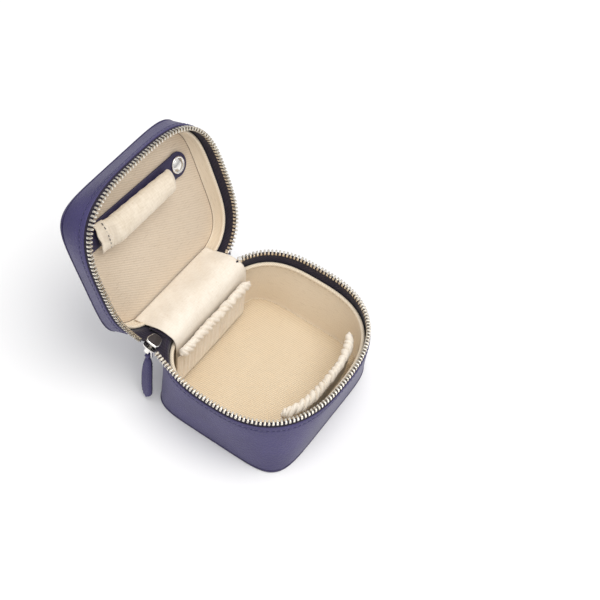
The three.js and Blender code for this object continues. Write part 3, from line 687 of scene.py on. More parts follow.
def tooth_row(name, row, seam_z, towards, body, lid):
    points = resample(line_of(row), TOOTH_PITCH)
    points = np.concatenate([points, np.full((len(points), 1), seam_z)], 1)
    up = np.tile([0.0, 0.0, float(towards)], (len(points), 1))
    if lid:
        points, up = opened(points), opened_direction(up)
    places = frames_along(points, up)
    lean = rng.normal(0, 0.025, len(points))
    for place, angle in zip(places, lean):
        c, s = math.cos(angle), math.sin(angle)
        x, y = place[:, 0].copy(), place[:, 1].copy()
        place[:, 0], place[:, 1] = x * c + y * s, y * c - x * s
    template, faces = tooth()
    piece = repeated(name, template, faces, places, M_NICKEL, body)
    shade_by_angle(piece)
    return piece


def shade_by_angle(obj, degrees=35):
    bm = bmesh.new()
    bm.from_mesh(obj.data)
    for e in bm.edges:
        e.smooth = len(e.link_faces) == 2 and e.calc_face_angle(0) < math.radians(degrees)
    bm.to_mesh(obj.data)
    bm.free()


def tape(name, wall, row, seam_z, away, body):
    """The tape that carries a row of teeth, from its cord down between leather and lining."""
    phi = np.radians(np.linspace(row["end"] + 5, row["leaves"], 330))
    section = [(0.0, 0.15), (0.42, 0.3), (0.5, 1.0), (0.3, 1.7), (0.15, 3.0), (0.2, 5.2), (0.2, 8.0),
               (-0.15, 8.0), (-0.15, 3.4), (-0.4, 2.62), (-0.93, 2.5), (-0.95, 2.3), (-0.5, 1.9), (-0.5, 1.1),
               (-0.42, 0.3)]
    section = np.array([(ROW_INSET + inset, seam_z + away * drop) for inset, drop in section])
    grid = wall_points(wall, section[None, :, 0], section[None, :, 1], phi[:, None])
    surf = lengths(grid)
    if wall is LID:
        grid = opened(grid)
    n, m = grid.shape[:2]
    faces = grid_faces(n, m, False, True).tolist() + end_faces(n, m)
    piece = make(name, grid, faces, M_TAPE, body, surf=surf)
    shade_by_angle(piece, 60)
    return piece


def tape_web(name, wall, row, seam_z, edge_z, away, through):
    """The loose end of a tape: from the corner of the case to its teeth and on through the slider."""
    lid = wall is LID
    tail = line_of(row)[400:]
    tail = np.concatenate([tail, np.full((len(tail), 1), seam_z + away * 0.5)], 1)
    start = wall_points(wall, ROW_INSET, seam_z + away * 0.5, math.radians(row["leaves"]))[None]
    tail = np.concatenate([start, tail])
    tail = np.concatenate([opened(tail) if lid else tail, through])
    tail = spline(resample(tail, 2.5), 60)
    phi = np.radians(np.linspace(row["leaves"], -235, 60))
    over = wall_points(wall, 0.5, edge_z - away * 0.45, phi)
    inside = [wall_points(wall, inset, edge_z + away * drop, phi)
              for inset, drop in ((1.2, 0.1), (1.75, 1.6), (1.8, 4.0), (1.8, 6.5))]
    if lid:
        over, inside = opened(over), [opened(line) for line in inside]
    columns = []
    for t in np.linspace(0, 1, 12):
        sag = -0.9 * math.sin(math.pi * t) * np.sin(np.linspace(0, math.pi, 60))
        line = mix(tail, over, t)
        line[:, 2] += sag
        columns.append(line)
    grid = np.stack(columns + inside, 1)
    piece = make(name, grid, grid_faces(*grid.shape[:2]), M_TAPE, surf=lengths(grid))
    solid(piece, 0.45)
    return piece


def end_stop(name, row, seam_z, body, lid):
    """A small metal clip folded over the tape at the end of a row."""
    x, y = outline(row["rim"], 1.0, ROW_INSET, np.radians(row["end"] + 2.4))
    clip, faces = beveled_box((2.2, 2.5, 2.5), 0.4, 3)
    slit, slit_faces = beveled_box((2.32, 0.5, 1.6), 0.12)
    slit[:, 2] -= 0.3
    points, faces = merged([(clip, faces), (slit, slit_faces)])
    c, s = math.cos(math.radians(-36)), math.sin(math.radians(-36))
    place = np.array([[c, -s, 0, float(x)], [s, c, 0, float(y)], [0, 0, 1, seam_z]])
    points = points @ place[:, :3].T + place[:, 3]
    if lid:
        points = opened(points)
    piece = make(name, points, faces, M_BRIGHT, body)
    shade_by_angle(piece)
    return piece


def zip_rows():
    sides = (("base", BASE, BASE_ROW, SEAM, -1), ("lid", LID, LID_ROW, LID_SEAM, 1))
    for side, wall, row, seam_z, away in sides:
        lid = side == "lid"
        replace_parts(tape(f"{side}_tape", wall, row, seam_z, away, side), f"{side}_zip_tape")
        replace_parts(tooth_row(f"{side}_teeth", row, seam_z, -away, side, lid), f"{side}_zip_teeth")
        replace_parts(end_stop(f"{side}_stop", row, seam_z, side, lid), f"{side}_zip_stop")
    joined = [[-31.4, 44.4, 38.6], [-27.6, 44.8, 39.6]]
    channel = np.concatenate([on_slider([[2.2, 2.9, 0], [0, 1.6, 0], [-4.2, 0.2, 0]]), joined])
    web = tape_web("base_tape_web", BASE, BASE_ROW, SEAM, BASE_EDGE, -1, channel)
    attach(web, "base")
    channel = np.concatenate([on_slider([[2.2, -2.9, 0], [0, -1.6, 0], [-4.2, -0.2, 0]]), joined])
    web = tape_web("lid_tape_web", LID, LID_ROW, LID_SEAM, LID_EDGE, 1, channel)
    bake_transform(web)


# ---- linings ----
def linings():
    # The lining's top is turned over a cord, then runs down to the floor pad.
    profile = [(2.5, 33.5), (2.45, 34.6), (2.55, 35.3), (2.9, 35.62), (3.35, 35.66), (3.8, 35.5),
               (4.02, 35.1), (4.02, 34.6), (3.85, 34.15), (3.6, 33.8), (3.45, 33.3)]
    profile += [(LINING_IN, z) for z in np.linspace(32.4, 5.4, 10)]
    profile += [(LINING_IN + 0.2, 4.6), (3.9, 4.3)]
    wall = ring_wall("base_lining", BASE, profile, M_WALL, "base", closed=False)
    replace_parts(wall, "base_wall_lining", "base_side_board", "base_floor_board")
    solid(wall, 0.25)
    piece = seam("base_lining_stitches", wall_points(BASE, 3.72, 33.55, round_the_case(500)),
                 lambda p: -wall_normals(p), 2.4, M_CREAM_THREAD, "base", radius=0.13, closed=True)

    low = LID_EDGE + 3.3
    turned = [(2.5, 2.4), (2.45, 1.0), (2.6, 0.3), (2.95, 0.0), (3.3, 0.0), (3.62, 0.25), (3.75, 0.75),
              (3.6, 1.4), (3.4, 2.0)]
    profile = [(inset, low + rise) for inset, rise in turned]
    profile += [(LINING_IN, z) for z in np.linspace(low + 2.8, 57.2, 5)]
    profile += [(3.45, 57.8), (4.0, 58.05)]
    wall = ring_wall("lid_lining", LID, profile, M_WALL, "lid", closed=False)
    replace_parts(wall, "lid_wall_lining", "lid_side_board", "lid_top_board")
    solid(wall, 0.25)

    def outwardness(grid, half_x, half_y):
        """0 in a panel's middle, 1 at its edge."""
        return np.clip(np.maximum(np.abs(grid[..., 0]) / half_x, np.abs(grid[..., 1]) / half_y), 0, 1)

    def ceiling_shape(grid):
        # The padded panel bellies out a little from the seam round it.
        puff = 0.55 * (1 - smooth_step(0.55, 1.0, outwardness(grid, 41, 36)))
        out = grid.copy()
        out[..., 2] -= np.where(grid[..., 2] < 58.6, puff, 0)
        return out

    layers = [(3.7, 57.95), (3.3, 58.1), (3.3, 59.1)]
    ceiling = filled_panel("lid_ceiling", LID, layers, M_LINING, "lid", rings=22, shape=ceiling_shape)
    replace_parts(ceiling, "lid_ceiling_panel")
    line = wall_points(LID, 4.05, 57.86, round_the_case(400))
    piece = tube("lid_ceiling_seam", opened(line), 0.15, M_SEAM, "lid", 6, True)

    def pad_shape(grid):
        # The pad's top falls away towards the wall.
        fall = 0.9 * smooth_step(0.82, 1.0, outwardness(grid, 42, 37))
        out = grid.copy()
        out[..., 2] -= np.where(grid[..., 2] > 4.0, fall, 0)
        return out

    layers = [(3.7, 3.45), (3.45, 3.9), (3.5, 4.7), (3.9, 5.3), (4.8, 5.55)]
    pad = filled_panel("base_floor_pad_cloth", BASE, layers, M_PAD, "base", rings=20, shape=pad_shape)
    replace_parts(pad, "base_floor_pad")


def solid(obj, thickness):
    """Gives a sheet its thickness, in millimetres."""
    modifier = obj.modifiers.new("thickness", "SOLIDIFY")
    modifier.thickness = thickness * MM
    modifier.offset = 0.0



# ---- gathered pockets ----
HEM_TWIST = 1.35         # how far, in mm a radian, the hem's folds run along it as they go round


def pocket(name, place, length, nodes, seed):
    """A pocket: a gathered panel whose hem is scrunched up over elastic.

    `place(u, ahead, z)` gives points: u along it from 0 to 1, `ahead` of the panel's back face.
    """
    low, high, radius_z = 6.2, 37.2, 3.0
    u = np.linspace(0, 1, int(length * 6))
    end = smooth_step(0, 0.035, u) * smooth_step(0, 0.035, 1 - u)
    local = np.random.default_rng(seed + 1)
    knots = 18
    places = np.linspace(0, 1, knots)
    uneven = np.interp(u, places, local.uniform(-0.45, 0.45, knots))
    stout = np.interp(u, places, local.uniform(0.86, 1.12, knots))
    columns = []
    for z in np.linspace(low, high - 2 * radius_z - 0.3, 14):
        depth = smooth_step(low - 8, high - 5, z)
        fold = gathers(u, length, seed)
        columns.append(place(u, (0.5 + 1.7 * fold * depth) * (0.4 + 0.6 * end), np.full_like(u, z)))
    for t in np.linspace(-0.62 * math.pi, 1.42 * math.pi, 36):
        fold = gathers(u, length, seed, HEM_TWIST / length * t + 0.004 * math.sin(2.3 * t))
        swell = stout * (0.55 + 0.72 * fold) * (0.25 + 0.75 * end)
        ahead = 2.3 + 2.2 * swell * math.cos(t)
        columns.append(place(u, ahead, high - radius_z + uneven * end + radius_z * swell * math.sin(t)))
    grid = np.stack(columns, 1)
    piece = make(name, grid, grid_faces(*grid.shape[:2]), M_COTTON, "base", surf=lengths(grid))
    solid(piece, 0.3)
    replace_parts(piece, *nodes)
    return piece


def gathers(u, length, seed, shift=0.0):
    """Folds of a gathered cloth from 0 to 1: rounded ridges with sharp creases between them."""
    total = np.zeros_like(u)
    for spacing, share, number in ((3.4, 0.78, 0), (1.9, 0.22, 7)):
        count = int(length / spacing)
        local = np.random.default_rng(seed + number)
        knots = np.linspace(0, 1, count + 1)
        knots[1:-1] += local.uniform(-0.3, 0.3, count - 1) / count
        phase = np.interp(np.clip(u + shift, 0, 1), knots, np.arange(count + 1))
        height = np.interp(phase, np.arange(count + 1), local.uniform(0.45, 1.0, count + 1))
        total += share * height * np.abs(np.sin(phase * math.pi)) ** 0.7
    return total


def pockets():
    def rear(u, ahead, z):
        return np.stack([mix(-32.6, 25.6, u), 32.2 - ahead, z], -1)

    pocket("rear_ruched_pocket", rear, 58, ("rear_pocket", "rear_pocket_elastic"), 5)

    def front(u, ahead, z):
        phi = -math.pi / 2 + mix(-0.82, 0.82, u)
        x, y = outline(BASE_RIM, base_share(z), 7.2 + ahead, phi)
        return np.stack([x, y, z], -1)

    pocket("front_ruched_pocket", front, 62, ("front_pocket", "front_pocket_elastic"), 9)


# ---- hinge ----
def rear_depth(wall, inset, z, x):
    """How far back a wall's rear side is at `x`."""
    rim, share = wall
    t = share(z)
    half_x = mix(BOTTOM["x"], rim["x"], t) - inset
    half_y = mix(BOTTOM["y"], rim["rear"][0], t) - inset
    power = 1 / mix(1 / BOTTOM["power"], 1 / rim["rear"][1], t)
    return half_y * (1 - np.abs(x / half_x) ** power) ** (1 / power)


def spline(points, count):
    """A smooth line through points, evenly sampled."""
    p = np.asarray(points, float)
    p = np.concatenate([2 * p[:1] - p[1:2], p, 2 * p[-1:] - p[-2:-1]])
    out = []
    for i in range(1, len(p) - 2):
        t = np.linspace(0, 1, 24, endpoint=False)[:, None]
        a, b, c, d = p[i - 1], p[i], p[i + 1], p[i + 2]
        square, cube = 2 * a - 5 * b + 4 * c - d, 3 * b - a - 3 * c + d
        out.append(0.5 * (2 * b + (c - a) * t + square * t ** 2 + cube * t ** 3))
    out = np.concatenate(out + [p[-2][None]])
    at = np.concatenate([[0], np.cumsum(np.linalg.norm(np.diff(out, axis=0), axis=1))])
    wanted = np.linspace(0, at[-1], count)
    return np.stack([np.interp(wanted, at, out[:, k]) for k in range(out.shape[1])], 1)


def strip(name, line_at, xs, count, material, thickness, lift=None):
    """A sheet across the hinge. `line_at(x)` lists the (y, z) points of its line at `x`."""
    grid = np.stack([
        np.concatenate([np.full((count, 1), x), spline(line_at(x), count)], 1) for x in xs])
    if lift is not None:
        grid = lift(grid)
    piece = make(name, grid, grid_faces(*grid.shape[:2]), material, surf=lengths(grid))
    solid(piece, thickness)
    return piece


def hinge():
    inset, drop = 1.5, 3.0

    def spine_line(x):
        base = rear_depth(BASE, inset, BASE_EDGE, x)
        crest = base + 1.4
        lid_edge = opened([0, rear_depth(LID, inset, LID_EDGE, x), LID_EDGE - 0.6])[1:]
        sewn = LID_EDGE + drop
        lid_in = opened([0, rear_depth(LID, inset, sewn, x), sewn])[1:]
        fall = (max(crest + 1.2, lid_edge[0] - 0.6), mix(BASE_EDGE, lid_edge[1], 0.4))
        return [(rear_depth(BASE, inset, BASE_EDGE - drop, x), BASE_EDGE - drop), (base, BASE_EDGE + 0.1),
                (crest, BASE_EDGE + 1.7 - smooth_step(20, 29, abs(x))), fall, tuple(lid_edge), tuple(lid_in)]

    spine = strip("hinge_leather", spine_line, np.linspace(-31.5, 28.5, 40), 34, [M_TAPE, M_LEATHER], 0.7)
    spine.modifiers["thickness"].material_offset = 1
    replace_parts(spine, "hinge_spine")
    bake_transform(spine)

    cloth_line = [(33.9, 8), (34.2, 22), (34.3, 34), (35.9, 39.8), (39.6, 42.5), (44.6, 42.8), (50.0, 41.0),
                  (55.4, 38.5), (59.3, 36.7), (60.4, 36.2)]

    def wrinkled(grid):
        # Soft diagonal drag lines near the fold, fading out towards the free ends, which droop a little.
        x, y = grid[..., 0], grid[..., 1]
        on_top = smooth_step(35, 40, y) * (1 - smooth_step(54, 60, y))
        wave = 0.3 * np.sin(x * 0.27 + y * 0.16) + 0.2 * np.sin(x * 0.61 - y * 0.3 + 1.0)
        edge = smooth_step(20, 30, np.abs(x))
        out = grid.copy()
        out[..., 2] += on_top * (wave * (1 - edge) - edge * 1.3)
        return out

    xs = np.linspace(-30.6, 28.4, 70)
    cloth = strip("hinge_inner_cloth", lambda x: cloth_line, xs, 90, M_COTTON, 0.4, wrinkled)
    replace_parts(cloth, "hinge_cloth")
    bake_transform(cloth)


# ---- slider and pull ----
SLIDER_AT = np.array([-37.1, 43.7, 38.4])
SLIDER_U = np.array([-0.95, -0.135, 0.281])
SLIDER_U /= np.linalg.norm(SLIDER_U)
SLIDER_W = np.cross(SLIDER_U, [0.049, -0.954, -0.295])      # out of its upper plate
SLIDER_W /= np.linalg.norm(SLIDER_W)
SLIDER_V = np.cross(SLIDER_W, SLIDER_U)


def on_slider(points):
    """From the slider's axes (X along the zip, Y across it, Z out of its plate) to the case's."""
    p = np.asarray(points, float)
    return SLIDER_AT + p[..., :1] * SLIDER_U + p[..., 1:2] * SLIDER_V + p[..., 2:3] * SLIDER_W


PLATE_SIDES = 72


def plate_outline(grow):
    """A shield: narrow and round at its back, wide at its mouth."""
    corners = np.array([(-3.85, 0), (-3.85, 1.9), (-3.4, 2.5), (-2.0, 3.0), (0.0, 3.5), (1.4, 3.75),
                        (2.8, 3.5), (3.6, 2.5), (3.75, 1.2), (3.75, 0)])
    ring = np.concatenate([corners, corners[-2:0:-1] * [1, -1]])
    ring = np.concatenate([ring, ring[:1]])
    at = np.concatenate([[0], np.cumsum(np.linalg.norm(np.diff(ring, axis=0), axis=1))])
    wanted = np.linspace(0, at[-1], PLATE_SIDES, endpoint=False)
    ring = np.stack([np.interp(wanted, at, ring[:, k]) for k in range(2)], 1)
    for _ in range(3):
        ring = (np.roll(ring, 1, 0) + 2 * ring + np.roll(ring, -1, 0)) / 4
    return ring * (1 + grow / 3.7)


def plate(low, high, outward):
    """Rings of a plate with a broad bevel on its outer face; returns points, faces, face materials."""
    rings = [(0.0, low), (0.0, mix(low, high, 0.55)), (-0.1, mix(low, high, 0.85)), (-0.3, high),
             (-0.38, high), (-0.44, high - outward * 0.06)]
    n = PLATE_SIDES
    grid = np.stack([np.concatenate([plate_outline(g), np.full((n, 1), z)], 1) for g, z in rings], 0)
    faces = grid_faces(len(rings), n, False, True).tolist()
    marks = [0] * (len(faces) - n) + [1] * n
    points = grid.reshape(-1, 3)
    for ring, mark in ((0, 0), (len(rings) - 1, 1)):
        points = np.concatenate([points, [points[ring * n:(ring + 1) * n].mean(0)]])
        centre = len(points) - 1
        faces += [[ring * n + i, ring * n + (i + 1) % n, centre] for i in range(n)]
        marks += [mark] * n
    return points, faces, marks


def slider():
    parts, marks = [], []
    for low, high, outward in ((1.7, 2.6, 1), (-1.7, -2.6, -1)):
        points, faces, mark = plate(low, high, outward)
        parts.append((points, faces))
        marks += mark
    points = np.concatenate([p for p, _ in parts])
    faces = parts[0][1] + [[i + len(parts[0][0]) for i in f] for f in parts[1][1]]
    # The post between the plates, their four flanges, and the bail's two feet and bridge.
    boxes = [((1.5, 1.3, 3.5), (-2.6, 0, 0))]
    boxes += [((3.2, 0.75, 0.95), (-1.8, y, z)) for z in (1.35, -1.35) for y in (2.65, -2.65)]
    boxes += [((0.9, 2.6, 2.9), (-2.45, 0, -3.9)), ((0.9, 2.6, 2.9), (2.65, 0, -3.9))]
    boxes += [((6.0, 2.6, 0.8), (0.1, 0, -5.2))]
    for size, centre in boxes:
        p, f = beveled_box(size, 0.22, 3)
        faces += (f + len(points)).tolist()
        points = np.concatenate([points, p + centre])
        marks += [0] * len(f)
    body = make("slider", on_slider(points), faces, [M_BRIGHT, M_GUN], "slider", material_index=marks)
    shade_by_angle(body, 32)
    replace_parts(body, "slider_body")


PULL_AT = on_slider([[1.2, 0, -4.05]])[0]
PULL_TURN = math.radians(78)


def on_pull(points):
    """From the pull's own axes (X across, Y outwards, Z up from the bail) to the case's."""
    p = np.asarray(points, float)
    c, s = math.cos(PULL_TURN), math.sin(PULL_TURN)
    return PULL_AT + np.stack([p[..., 0] * c - p[..., 1] * s, p[..., 0] * s + p[..., 1] * c, p[..., 2]], -1)


TAB_LENGTH, TAB_FOOT = 26.6, -6.0       # the foot is where the tab hangs on the wire
TAB_SEAM = 0.72                         # a stitch line's place from the middle to the edge
TAB_DOWN = [0, 0.06, 0.2, 0.42, 0.75, 0.89, 0.96, 1]
TAB_HALF = [1.5, 1.9, 2.9, 3.5, 3.6, 3.1, 2.0, 0.4]


def tab_bow(down):
    return 0.9 * np.sin(down * math.pi * 0.9)


def pull():
    a = np.linspace(0, 2 * math.pi, 64, endpoint=False)
    square = (np.abs(np.cos(a)) ** 4 + np.abs(np.sin(a)) ** 4) ** -0.25
    path = np.stack([2.2 * square * np.cos(a), np.zeros(64), -3.0 + 3.0 * square * np.sin(a)], 1)
    link = tube("pull_wire", on_pull(path), 0.5, M_BRIGHT, "pull_link", 12, True)
    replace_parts(link, "pull_link")

    # The tab: one strip of leather folded over the wire, with both layers sewn together.
    down = np.linspace(0, 1, 46)
    half = np.interp(down, TAB_DOWN, TAB_HALF)
    level = TAB_FOOT - 0.9 - down * TAB_LENGTH
    across = np.linspace(-1, 1, 17)
    columns = []
    for side in (1, -1):
        for k in across if side > 0 else across[::-1]:
            edge = np.sqrt(max(0.0, 1 - abs(k) ** 6))
            belly = 0.95 * edge * smooth_step(0.0, 0.08, down) + 0.35 * edge
            channel = -0.1 * math.exp(-((abs(k) - TAB_SEAM) / 0.09) ** 2)
            columns.append(np.stack([half * k, side * (belly + channel) + tab_bow(down), level], 1))
    grid = np.stack(columns, 1)
    n, m = grid.shape[:2]
    faces = grid_faces(n, m, False, True).tolist() + end_faces(n, m)
    tab = make("pull_leather", on_pull(lean(grid)), faces, M_LEATHER, "pull_tab")
    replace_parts(tab, "pull_tab")
    # The loop round the wire.
    t = np.linspace(-0.35 * math.pi, 1.35 * math.pi, 22)
    loop = np.stack([np.stack([np.full_like(t, k), 1.15 * np.cos(t), TAB_FOOT + 1.15 * np.sin(t)], 1)
                     for k in np.linspace(-1.3, 1.3, 7)])
    piece = make("pull_leather_loop", on_pull(loop), grid_faces(*loop.shape[:2]), M_LEATHER)
    solid(piece, 0.8)
    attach(piece, "pull_tab")
    # Stitches near both long edges, on both faces.
    keep = (down > 0.12) & (down < 0.95)
    bow = tab_bow(down[keep])
    for number, (side, face) in enumerate(((1, 1), (-1, 1), (1, -1), (-1, -1))):
        path = np.stack([half[keep] * TAB_SEAM * side, face * 1.24 + bow, level[keep]], 1)
        path = on_pull(lean(path[:, None])[:, 0])
        outward = on_pull(np.array([[0, face, 0]]))[0] - PULL_AT
        piece = seam(f"pull_stitches_{number}", path, lambda p, o=outward: np.tile(o, (len(p), 1)), 2.0,
                     M_THREAD, "pull_tab", radius=0.2)


def lean(grid):
    """Leans the tab about the wire: outwards from the case's side and along it."""
    x, y, z = grid[..., 0], grid[..., 1], grid[..., 2] - TAB_FOOT
    c, s = math.cos(math.radians(9.5)), math.sin(math.radians(9.5))
    x, z = x * c + z * s, -x * s + z * c
    c, s = math.cos(math.radians(9)), math.sin(math.radians(9))
    y, z = y * c - z * s, y * s + z * c
    return np.stack([x, y, z + TAB_FOOT], -1)


# ---- ring bar ----
BAR_Y, BAR_TURN, CAP_X = -17.0, math.radians(2.4), 30.0
STRAP_LOW, STRAP_HIGH = 55.8, 57.0
CAP_RADIUS = 4.5
ROLL_ASIDE, ROLL_DEEP = 0.9, 8.6


def on_bar(points):
    """From the bar's axes (X along it from its snap, Y across, Z as the shut lid's) to the open case's."""
    p = np.asarray(points, float)
    c, s = math.cos(BAR_TURN), math.sin(BAR_TURN)
    x = CAP_X + p[..., 0] * c - p[..., 1] * s
    y = BAR_Y + p[..., 0] * s + p[..., 1] * c
    return opened(np.stack([x, y, p[..., 2]], -1))


def roll_fullness(x):
    """How full the roll is: flat at its sewn left end, and round from a sixth of the way on."""
    return 0.3 + 0.7 * smooth_step(0.0, 0.16, (x + 61.6) / 54.2)


def roll_belly(y):
    """The turned-over cloth's section, from 0 at its sides to 1 in the middle."""
    return (1 - (np.abs(y) / 8.6) ** 2.6) ** 0.5


def bar_strap():
    """The strap: parallel sides and a round tip round the snap."""
    left, tip_radius, half, straight = -69.8, 6.6, 6.3, -2.9
    a = np.linspace(-1.87, 1.87, 48)
    tip = np.stack([tip_radius * np.cos(a), tip_radius * np.sin(a)], 1)
    top = np.stack([np.linspace(straight, left, 60), np.full(60, half)], 1)
    bottom = np.stack([np.linspace(left, straight, 60), np.full(60, -half)], 1)
    ring = np.concatenate([tip, top, bottom])
    rounds = [(0.25, STRAP_HIGH), (0.0, STRAP_HIGH - 0.2), (0.0, STRAP_LOW + 0.3), (0.1, STRAP_LOW + 0.1),
              (0.32, STRAP_LOW)]
    spans = []
    middle = np.stack([np.clip(ring[:, 0], left + 3, 0), np.zeros(len(ring))], 1)
    direction = middle - ring
    direction /= np.linalg.norm(direction, axis=1)[:, None]
    for inset, z in rounds:
        spans.append(np.concatenate([ring + direction * inset, np.full((len(ring), 1), z)], 1))
    grid = np.stack(spans, 1)
    n, m = grid.shape[:2]
    faces = grid_faces(n, m, True).tolist()
    faces += [[i * m for i in range(n)], [i * m + m - 1 for i in range(n)][::-1]]
    strap = make("ring_bar_leather", on_bar(grid), faces, M_STRAP, "ring_bar")
    shade_by_angle(strap, 40)
    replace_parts(strap, "ring_bar_strap")


def bar_roll():
    """The padded roll: a cloth tube with a flattened, folded and sewn left end."""
    u = np.linspace(0, 1, 90)
    x = mix(-61.2, -9.4, u)
    full = np.minimum(smooth_step(0.0, 0.16, u) * 0.7 + 0.3, 1 - 0.35 * smooth_step(0.93, 1.0, u))
    half_y = 7.0 * np.interp(u, [0, 0.18, 0.6, 0.92, 1], [1.08, 1.06, 0.95, 0.82, 0.72])
    sides, power = 56, 2.15
    t = np.linspace(0, 2 * math.pi, sides, endpoint=False)
    wave = 0.12 * np.sin(x * 0.9)[:, None] * np.sin(2 * t)[None]
    wave = wave + 0.08 * np.sin(x * 2.1 + 1)[:, None] * np.cos(3 * t)[None]
    square = (np.abs(np.cos(t)) ** power + np.abs(np.sin(t)) ** power) ** (-1 / power)
    grid = np.stack([
        np.repeat(x[:, None], sides, 1),
        ROLL_ASIDE + (half_y[:, None] + wave) * (square * np.cos(t))[None],
        STRAP_LOW - 0.25 - 4.3 * full[:, None] * (1 - (square * np.sin(t))[None]) + wave * 0.4,
    ], -1)
    surf = lengths(grid)
    n, m = grid.shape[:2]
    faces = grid_faces(n, m, False, True).tolist()
    ends = np.stack([grid[0].mean(0), grid[-1].mean(0) + [0.4, 0, 0]])
    points = np.concatenate([grid.reshape(-1, 3), ends])
    for i in range(m):
        k = (i + 1) % m
        faces.append([i, k, n * m])
        faces.append([(n - 1) * m + i, (n - 1) * m + k, n * m + 1])
    surf = np.concatenate([surf.reshape(-1, 2), np.zeros((2, 2))])
    roll = make("ring_roll", on_bar(points), faces, M_ROLL, "ring_bar", surf=surf)
    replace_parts(roll, "ring_bar_roll")
    # Turned-over cloth at the left end, and the dark thread that closes it.
    y = np.linspace(-8.0, 8.0, 30)
    for k, (shift, reach) in enumerate(((0.0, 5.6), (0.5, 4.6))):
        xs = np.linspace(-62.9 + shift, -62.9 + shift + reach, 9)
        face = []
        for column in xs:
            depth = STRAP_LOW - 0.25 - ROLL_DEEP * 0.985 * roll_fullness(column) - 0.35 + 0.3 * k
            ruffled = np.full_like(y, column) + 0.35 * np.sin(y * 0.8 + k)
            face.append(np.stack([ruffled, ROLL_ASIDE + y, mix(STRAP_LOW - 0.6, depth, roll_belly(y))], 1))
        face = np.stack(face)
        faces = grid_faces(*face.shape[:2])
        flap = make(f"ring_roll_fold_{k}", on_bar(face), faces, M_ROLL, surf=lengths(face))
        solid(flap, 0.45)
        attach(flap, "ring_bar")
    sewn_x = -58.6
    y = np.linspace(-6.6, 6.6, 60)
    low_side = STRAP_LOW - 0.6
    level = mix(low_side, low_side - ROLL_DEEP * roll_fullness(sewn_x), roll_belly(y)) - 0.3
    line = on_bar(np.stack([np.full_like(y, sewn_x), ROLL_ASIDE + y, level], 1))
    inside = on_bar(np.array([[sewn_x, 0, STRAP_LOW + 6]]))
    piece = seam("ring_roll_stitches", line, lambda p: p - inside, 2.3, M_DARK_THREAD, "ring_bar",
                 radius=0.24)


def bar_anchor():
    """The strap's fixed end, folded down onto the lid's wall."""
    local = np.linspace(0, 1, 14)
    columns = []
    xs = np.interp(local, [0, 0.4, 0.55, 1], [-71.4, -71.3, -71.0, -70.6])
    zs = STRAP_LOW + np.interp(local, [0, 0.4, 0.75, 1], [-4.4, -1.6, 0.6, 1.2])
    for y in np.linspace(-6.4, 6.4, 12):
        columns.append(np.stack([xs, np.full_like(xs, y), zs], 1))
    grid = np.stack(columns)
    anchor = make("ring_bar_anchor_leather", on_bar(grid), grid_faces(*grid.shape[:2]), M_STRAP)
    solid(anchor, 1.2)
    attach(anchor, "lid")
    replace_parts(anchor, "ring_bar_anchor")


def bar_snap():
    """The snap: a spun cap with a rolled rim on the strap, and a stud on the lid."""
    low = STRAP_LOW - 0.05
    rim = [(0.25, 0.0), (0.0, 0.18), (-0.02, 0.45), (0.16, 0.7), (0.5, 0.78), (0.85, 0.66), (1.05, 0.55),
           (1.25, 0.66)]
    profile = [(CAP_RADIUS - inset, low - drop) for inset, drop in rim]
    profile += [(CAP_RADIUS * 0.6, low - 1.05), (CAP_RADIUS * 0.35, low - 1.32), (0.4, low - 1.45)]
    revolve("snap_cap_metal", profile, "ring_bar", "snap_cap")
    profile = [(1.2, 58.0), (1.2, 57.75), (2.2, 57.7), (2.9, 57.6), (3.05, 57.45), (2.9, 57.3), (2.0, 57.25),
               (0.4, 57.25)]
    revolve("snap_stud_metal", profile, "lid", "snap_stud")


def revolve(name, profile, body, node):
    """A round metal part about the snap's axis, from (radius, z) points."""
    sides = 64
    a = np.linspace(0, 2 * math.pi, sides, endpoint=False)
    grid = np.stack([np.stack([r * np.cos(a), r * np.sin(a), np.full(sides, z)], 1) for r, z in profile])
    faces = grid_faces(len(profile), sides, False, True).tolist() + end_faces(len(profile), sides)
    piece = make(name, on_bar(grid), faces, M_BRIGHT, body)
    shade_by_angle(piece, 50)
    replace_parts(piece, node)


def ring_bar():
    bar_strap()
    bar_roll()
    bar_anchor()
    bar_snap()


# ---- stage, light and camera ----
FLOOR_HALF = 9000.0


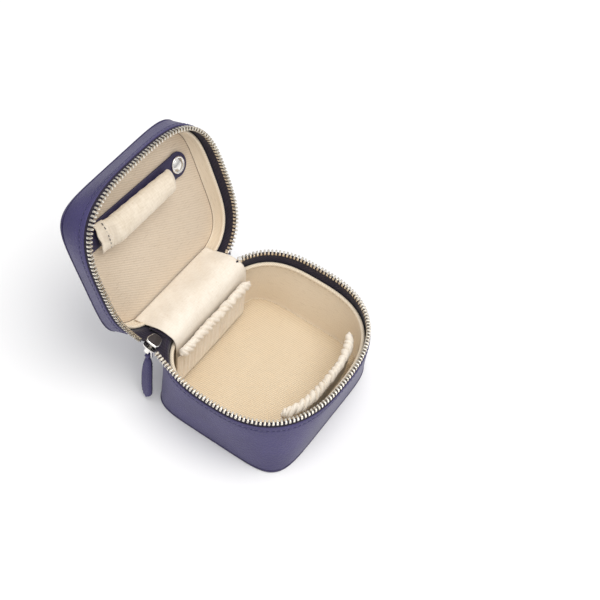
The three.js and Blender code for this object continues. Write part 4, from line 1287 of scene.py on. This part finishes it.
def stage():
    n = Nodes("paper", 0.85, Specular_IOR_Level=0.1)
    n.bump(n.noise(n.place(), 60, 3), 0.03, 0.001)
    tones = [(0.3, (0.93, 0.93, 0.93, 1)), (0.7, (0.96, 0.96, 0.96, 1))]
    material = n.done(n.ramp(n.noise(n.place(), 3, 2), tones))
    steps = np.linspace(-FLOOR_HALF, FLOOR_HALF, 9)
    x, y = np.meshgrid(steps, steps, indexing="ij")
    grid = np.stack([x, y, np.full_like(x, -0.05)], -1)
    floor = make("floor", grid, grid_faces(9, 9), material)
    floor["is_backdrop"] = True


def light(name, at, aim, size, power, color=(1, 1, 1)):
    lamp = bpy.data.lights.new(name, "AREA")
    lamp.shape = "DISK"
    lamp.size = size
    lamp.energy = power
    lamp.color = color
    obj = bpy.data.objects.new(name, lamp)
    bpy.context.scene.collection.objects.link(obj)
    obj.location = at
    direction = Vector(aim) - Vector(at)
    obj.rotation_euler = direction.to_track_quat("-Z", "Y").to_euler()


def lights():
    world = bpy.data.worlds.new("studio")
    bpy.context.scene.world = world
    world.use_nodes = True
    tree = world.node_tree
    background = tree.nodes["Background"]
    background.inputs["Strength"].default_value = 0.93
    # Bright overhead, and dimmer round the sides of the room.
    place = tree.nodes.new("ShaderNodeTexCoord")
    split = tree.nodes.new("ShaderNodeSeparateXYZ")
    ramp = tree.nodes.new("ShaderNodeValToRGB")
    ramp.color_ramp.elements[0].color = (0.42, 0.42, 0.44, 1)
    ramp.color_ramp.elements[1].color = (1, 1, 1, 1)
    ramp.color_ramp.elements[1].position = 0.8
    tree.links.new(place.outputs["Generated"], split.inputs[0])
    tree.links.new(split.outputs["Z"], ramp.inputs["Fac"])
    tree.links.new(ramp.outputs["Color"], background.inputs["Color"])
    light("key", (0.05, -0.3, 1.1), (0, 0, 0.03), 0.9, 6.5, (1, 0.985, 0.965))
    light("side", (-0.9, -0.35, 0.35), (0, 0, 0.03), 0.5, 1.2)
    bpy.context.scene.view_settings.view_transform = "Standard"


def camera():
    right = Vector((0.559, -0.825, 0.090))
    down = Vector((-0.635, -0.495, -0.593))
    forward = right.cross(down).normalized()
    right = down.cross(forward).normalized()
    down = forward.cross(right).normalized()
    data = bpy.data.cameras.new("camera")
    data.sensor_width = 36.0
    data.lens = 78.55
    data.clip_start = 0.01
    obj = bpy.data.objects.new("camera", data)
    bpy.context.scene.collection.objects.link(obj)
    turn = Matrix((right, -down, -forward)).transposed()
    obj.matrix_world = Matrix.Translation(Vector((-0.32637, -0.18161, 0.57170))) @ turn.to_4x4()
    bpy.context.scene.camera = obj


camera()
lights()
stage()
leather_shell()
end_panels()
zip_rows()
linings()
pockets()
hinge()
slider()
pull()
ring_bar()

[[list(corner) for corner in found] for found in (cad_box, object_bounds())]
